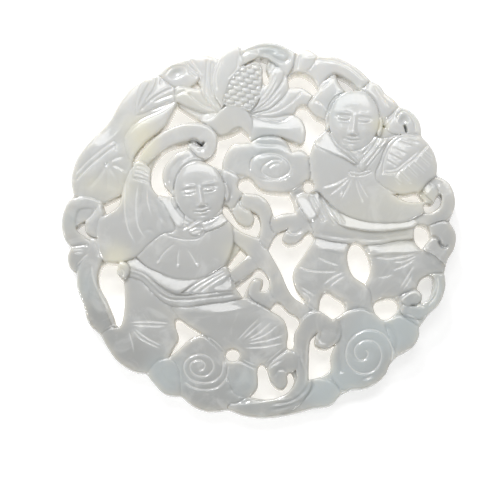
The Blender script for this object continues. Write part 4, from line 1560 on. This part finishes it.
# %% [markdown]
# ## The floor
#
# The pendant lies on its back on a plain pale floor, which shows through the gaps. In the
# photograph most gaps are nearly white. A gap this deep keeps much of the light out, so the floor
# gives off a little light of its own. It lies a hair under the stone, so that the two don't meet.

# %% Lay the floor
UNDER = 0.00002
bpy.ops.mesh.primitive_plane_add(size=3, location=(0, 0, -UNDER))
floor = bpy.context.object
floor.name = "floor"
paper = Shader("pale_floor")
fibre = paper.noise(paper.place(), 220, 4)
floor.data.materials.append(paper.finish({}, {
    "Base Color": paper.mix(fibre, (0.93, 0.93, 0.93, 1), (0.96, 0.96, 0.96, 1)),
    "Roughness": 0.8, "Emission Color": (1, 1, 1, 1), "Emission Strength": 0.45,
}))
print("the floor lies", round(UNDER * 1000, 2), "mm under the stone")


# %% [markdown]
# ## Light
#
# Relief lives on light from one side. A broad lamp beyond the top of the pendant grazes it, so each
# groove gets a bright lip and a soft shadow, and weaker lamps at the sides keep the shadows open.
# The gloss lamp is a wide strip that only the facets tipped towards the top can mirror: that makes
# the sashes and collars shine.

# %% Hang the lamps
def lamp(name, place, size, watts):
    """A soft box that faces the pendant, with its width and height in metres."""
    light = bpy.data.lights.new(name, "AREA")
    light.shape = "RECTANGLE"
    light.size, light.size_y = size
    light.energy = watts
    holder = bpy.data.objects.new(name, light)
    bpy.context.scene.collection.objects.link(holder)
    holder.location = place
    holder.rotation_euler = (Vector() - Vector(place)).to_track_quat("-Z", "Y").to_euler()
    print(name, "hangs", round(Vector(place).length, 2), "m from the pendant")


lamp("key_lamp", (-0.22, 0.56, 0.46), (0.2, 0.2), 3.3)
lamp("gloss_lamp", (0, 0.234, 0.55), (0.3, 0.12), 0.5)
lamp("left_lamp", (-0.5, -0.12, 0.3), (0.1, 0.1), 0.7)
lamp("right_lamp", (0.34, -0.5, 0.34), (0.1, 0.1), 0.7)
world = bpy.data.worlds.new("studio")
world.use_nodes = True
background = world.node_tree.nodes["Background"]
background.inputs["Color"].default_value = (1, 1, 1, 1)
background.inputs["Strength"].default_value = 0.34
bpy.context.scene.world = world
bpy.context.scene.view_settings.view_transform = "Standard"

# %% [markdown]
# ## The camera
#
# The photograph looks almost straight down, tipped a few degrees towards its lower edge, so that
# the upper walls of the gaps show. A long lens from a third of a metre keeps the roundel round.

# %% Place the camera
PICTURE_PIXELS = 500
PENDANT_PIXELS = 393.6
PICTURE_MM = 60 * PICTURE_PIXELS / PENDANT_PIXELS
DISTANCE_MM = 350
TILT = math.radians(7)
target = Vector((-1.34, -3.2, 3.5)) / 1000
camera = bpy.data.objects.new("camera", bpy.data.cameras.new("camera"))
bpy.context.scene.collection.objects.link(camera)
camera.location = target + Vector((0, -math.sin(TILT), math.cos(TILT))) * DISTANCE_MM / 1000
camera.rotation_euler = (target - camera.location).to_track_quat("-Z", "Y").to_euler()
camera.data.lens = camera.data.sensor_width * DISTANCE_MM / PICTURE_MM
camera.data.clip_start = 0.01
bpy.context.scene.camera = camera
print("the lens is", round(camera.data.lens), "mm long")
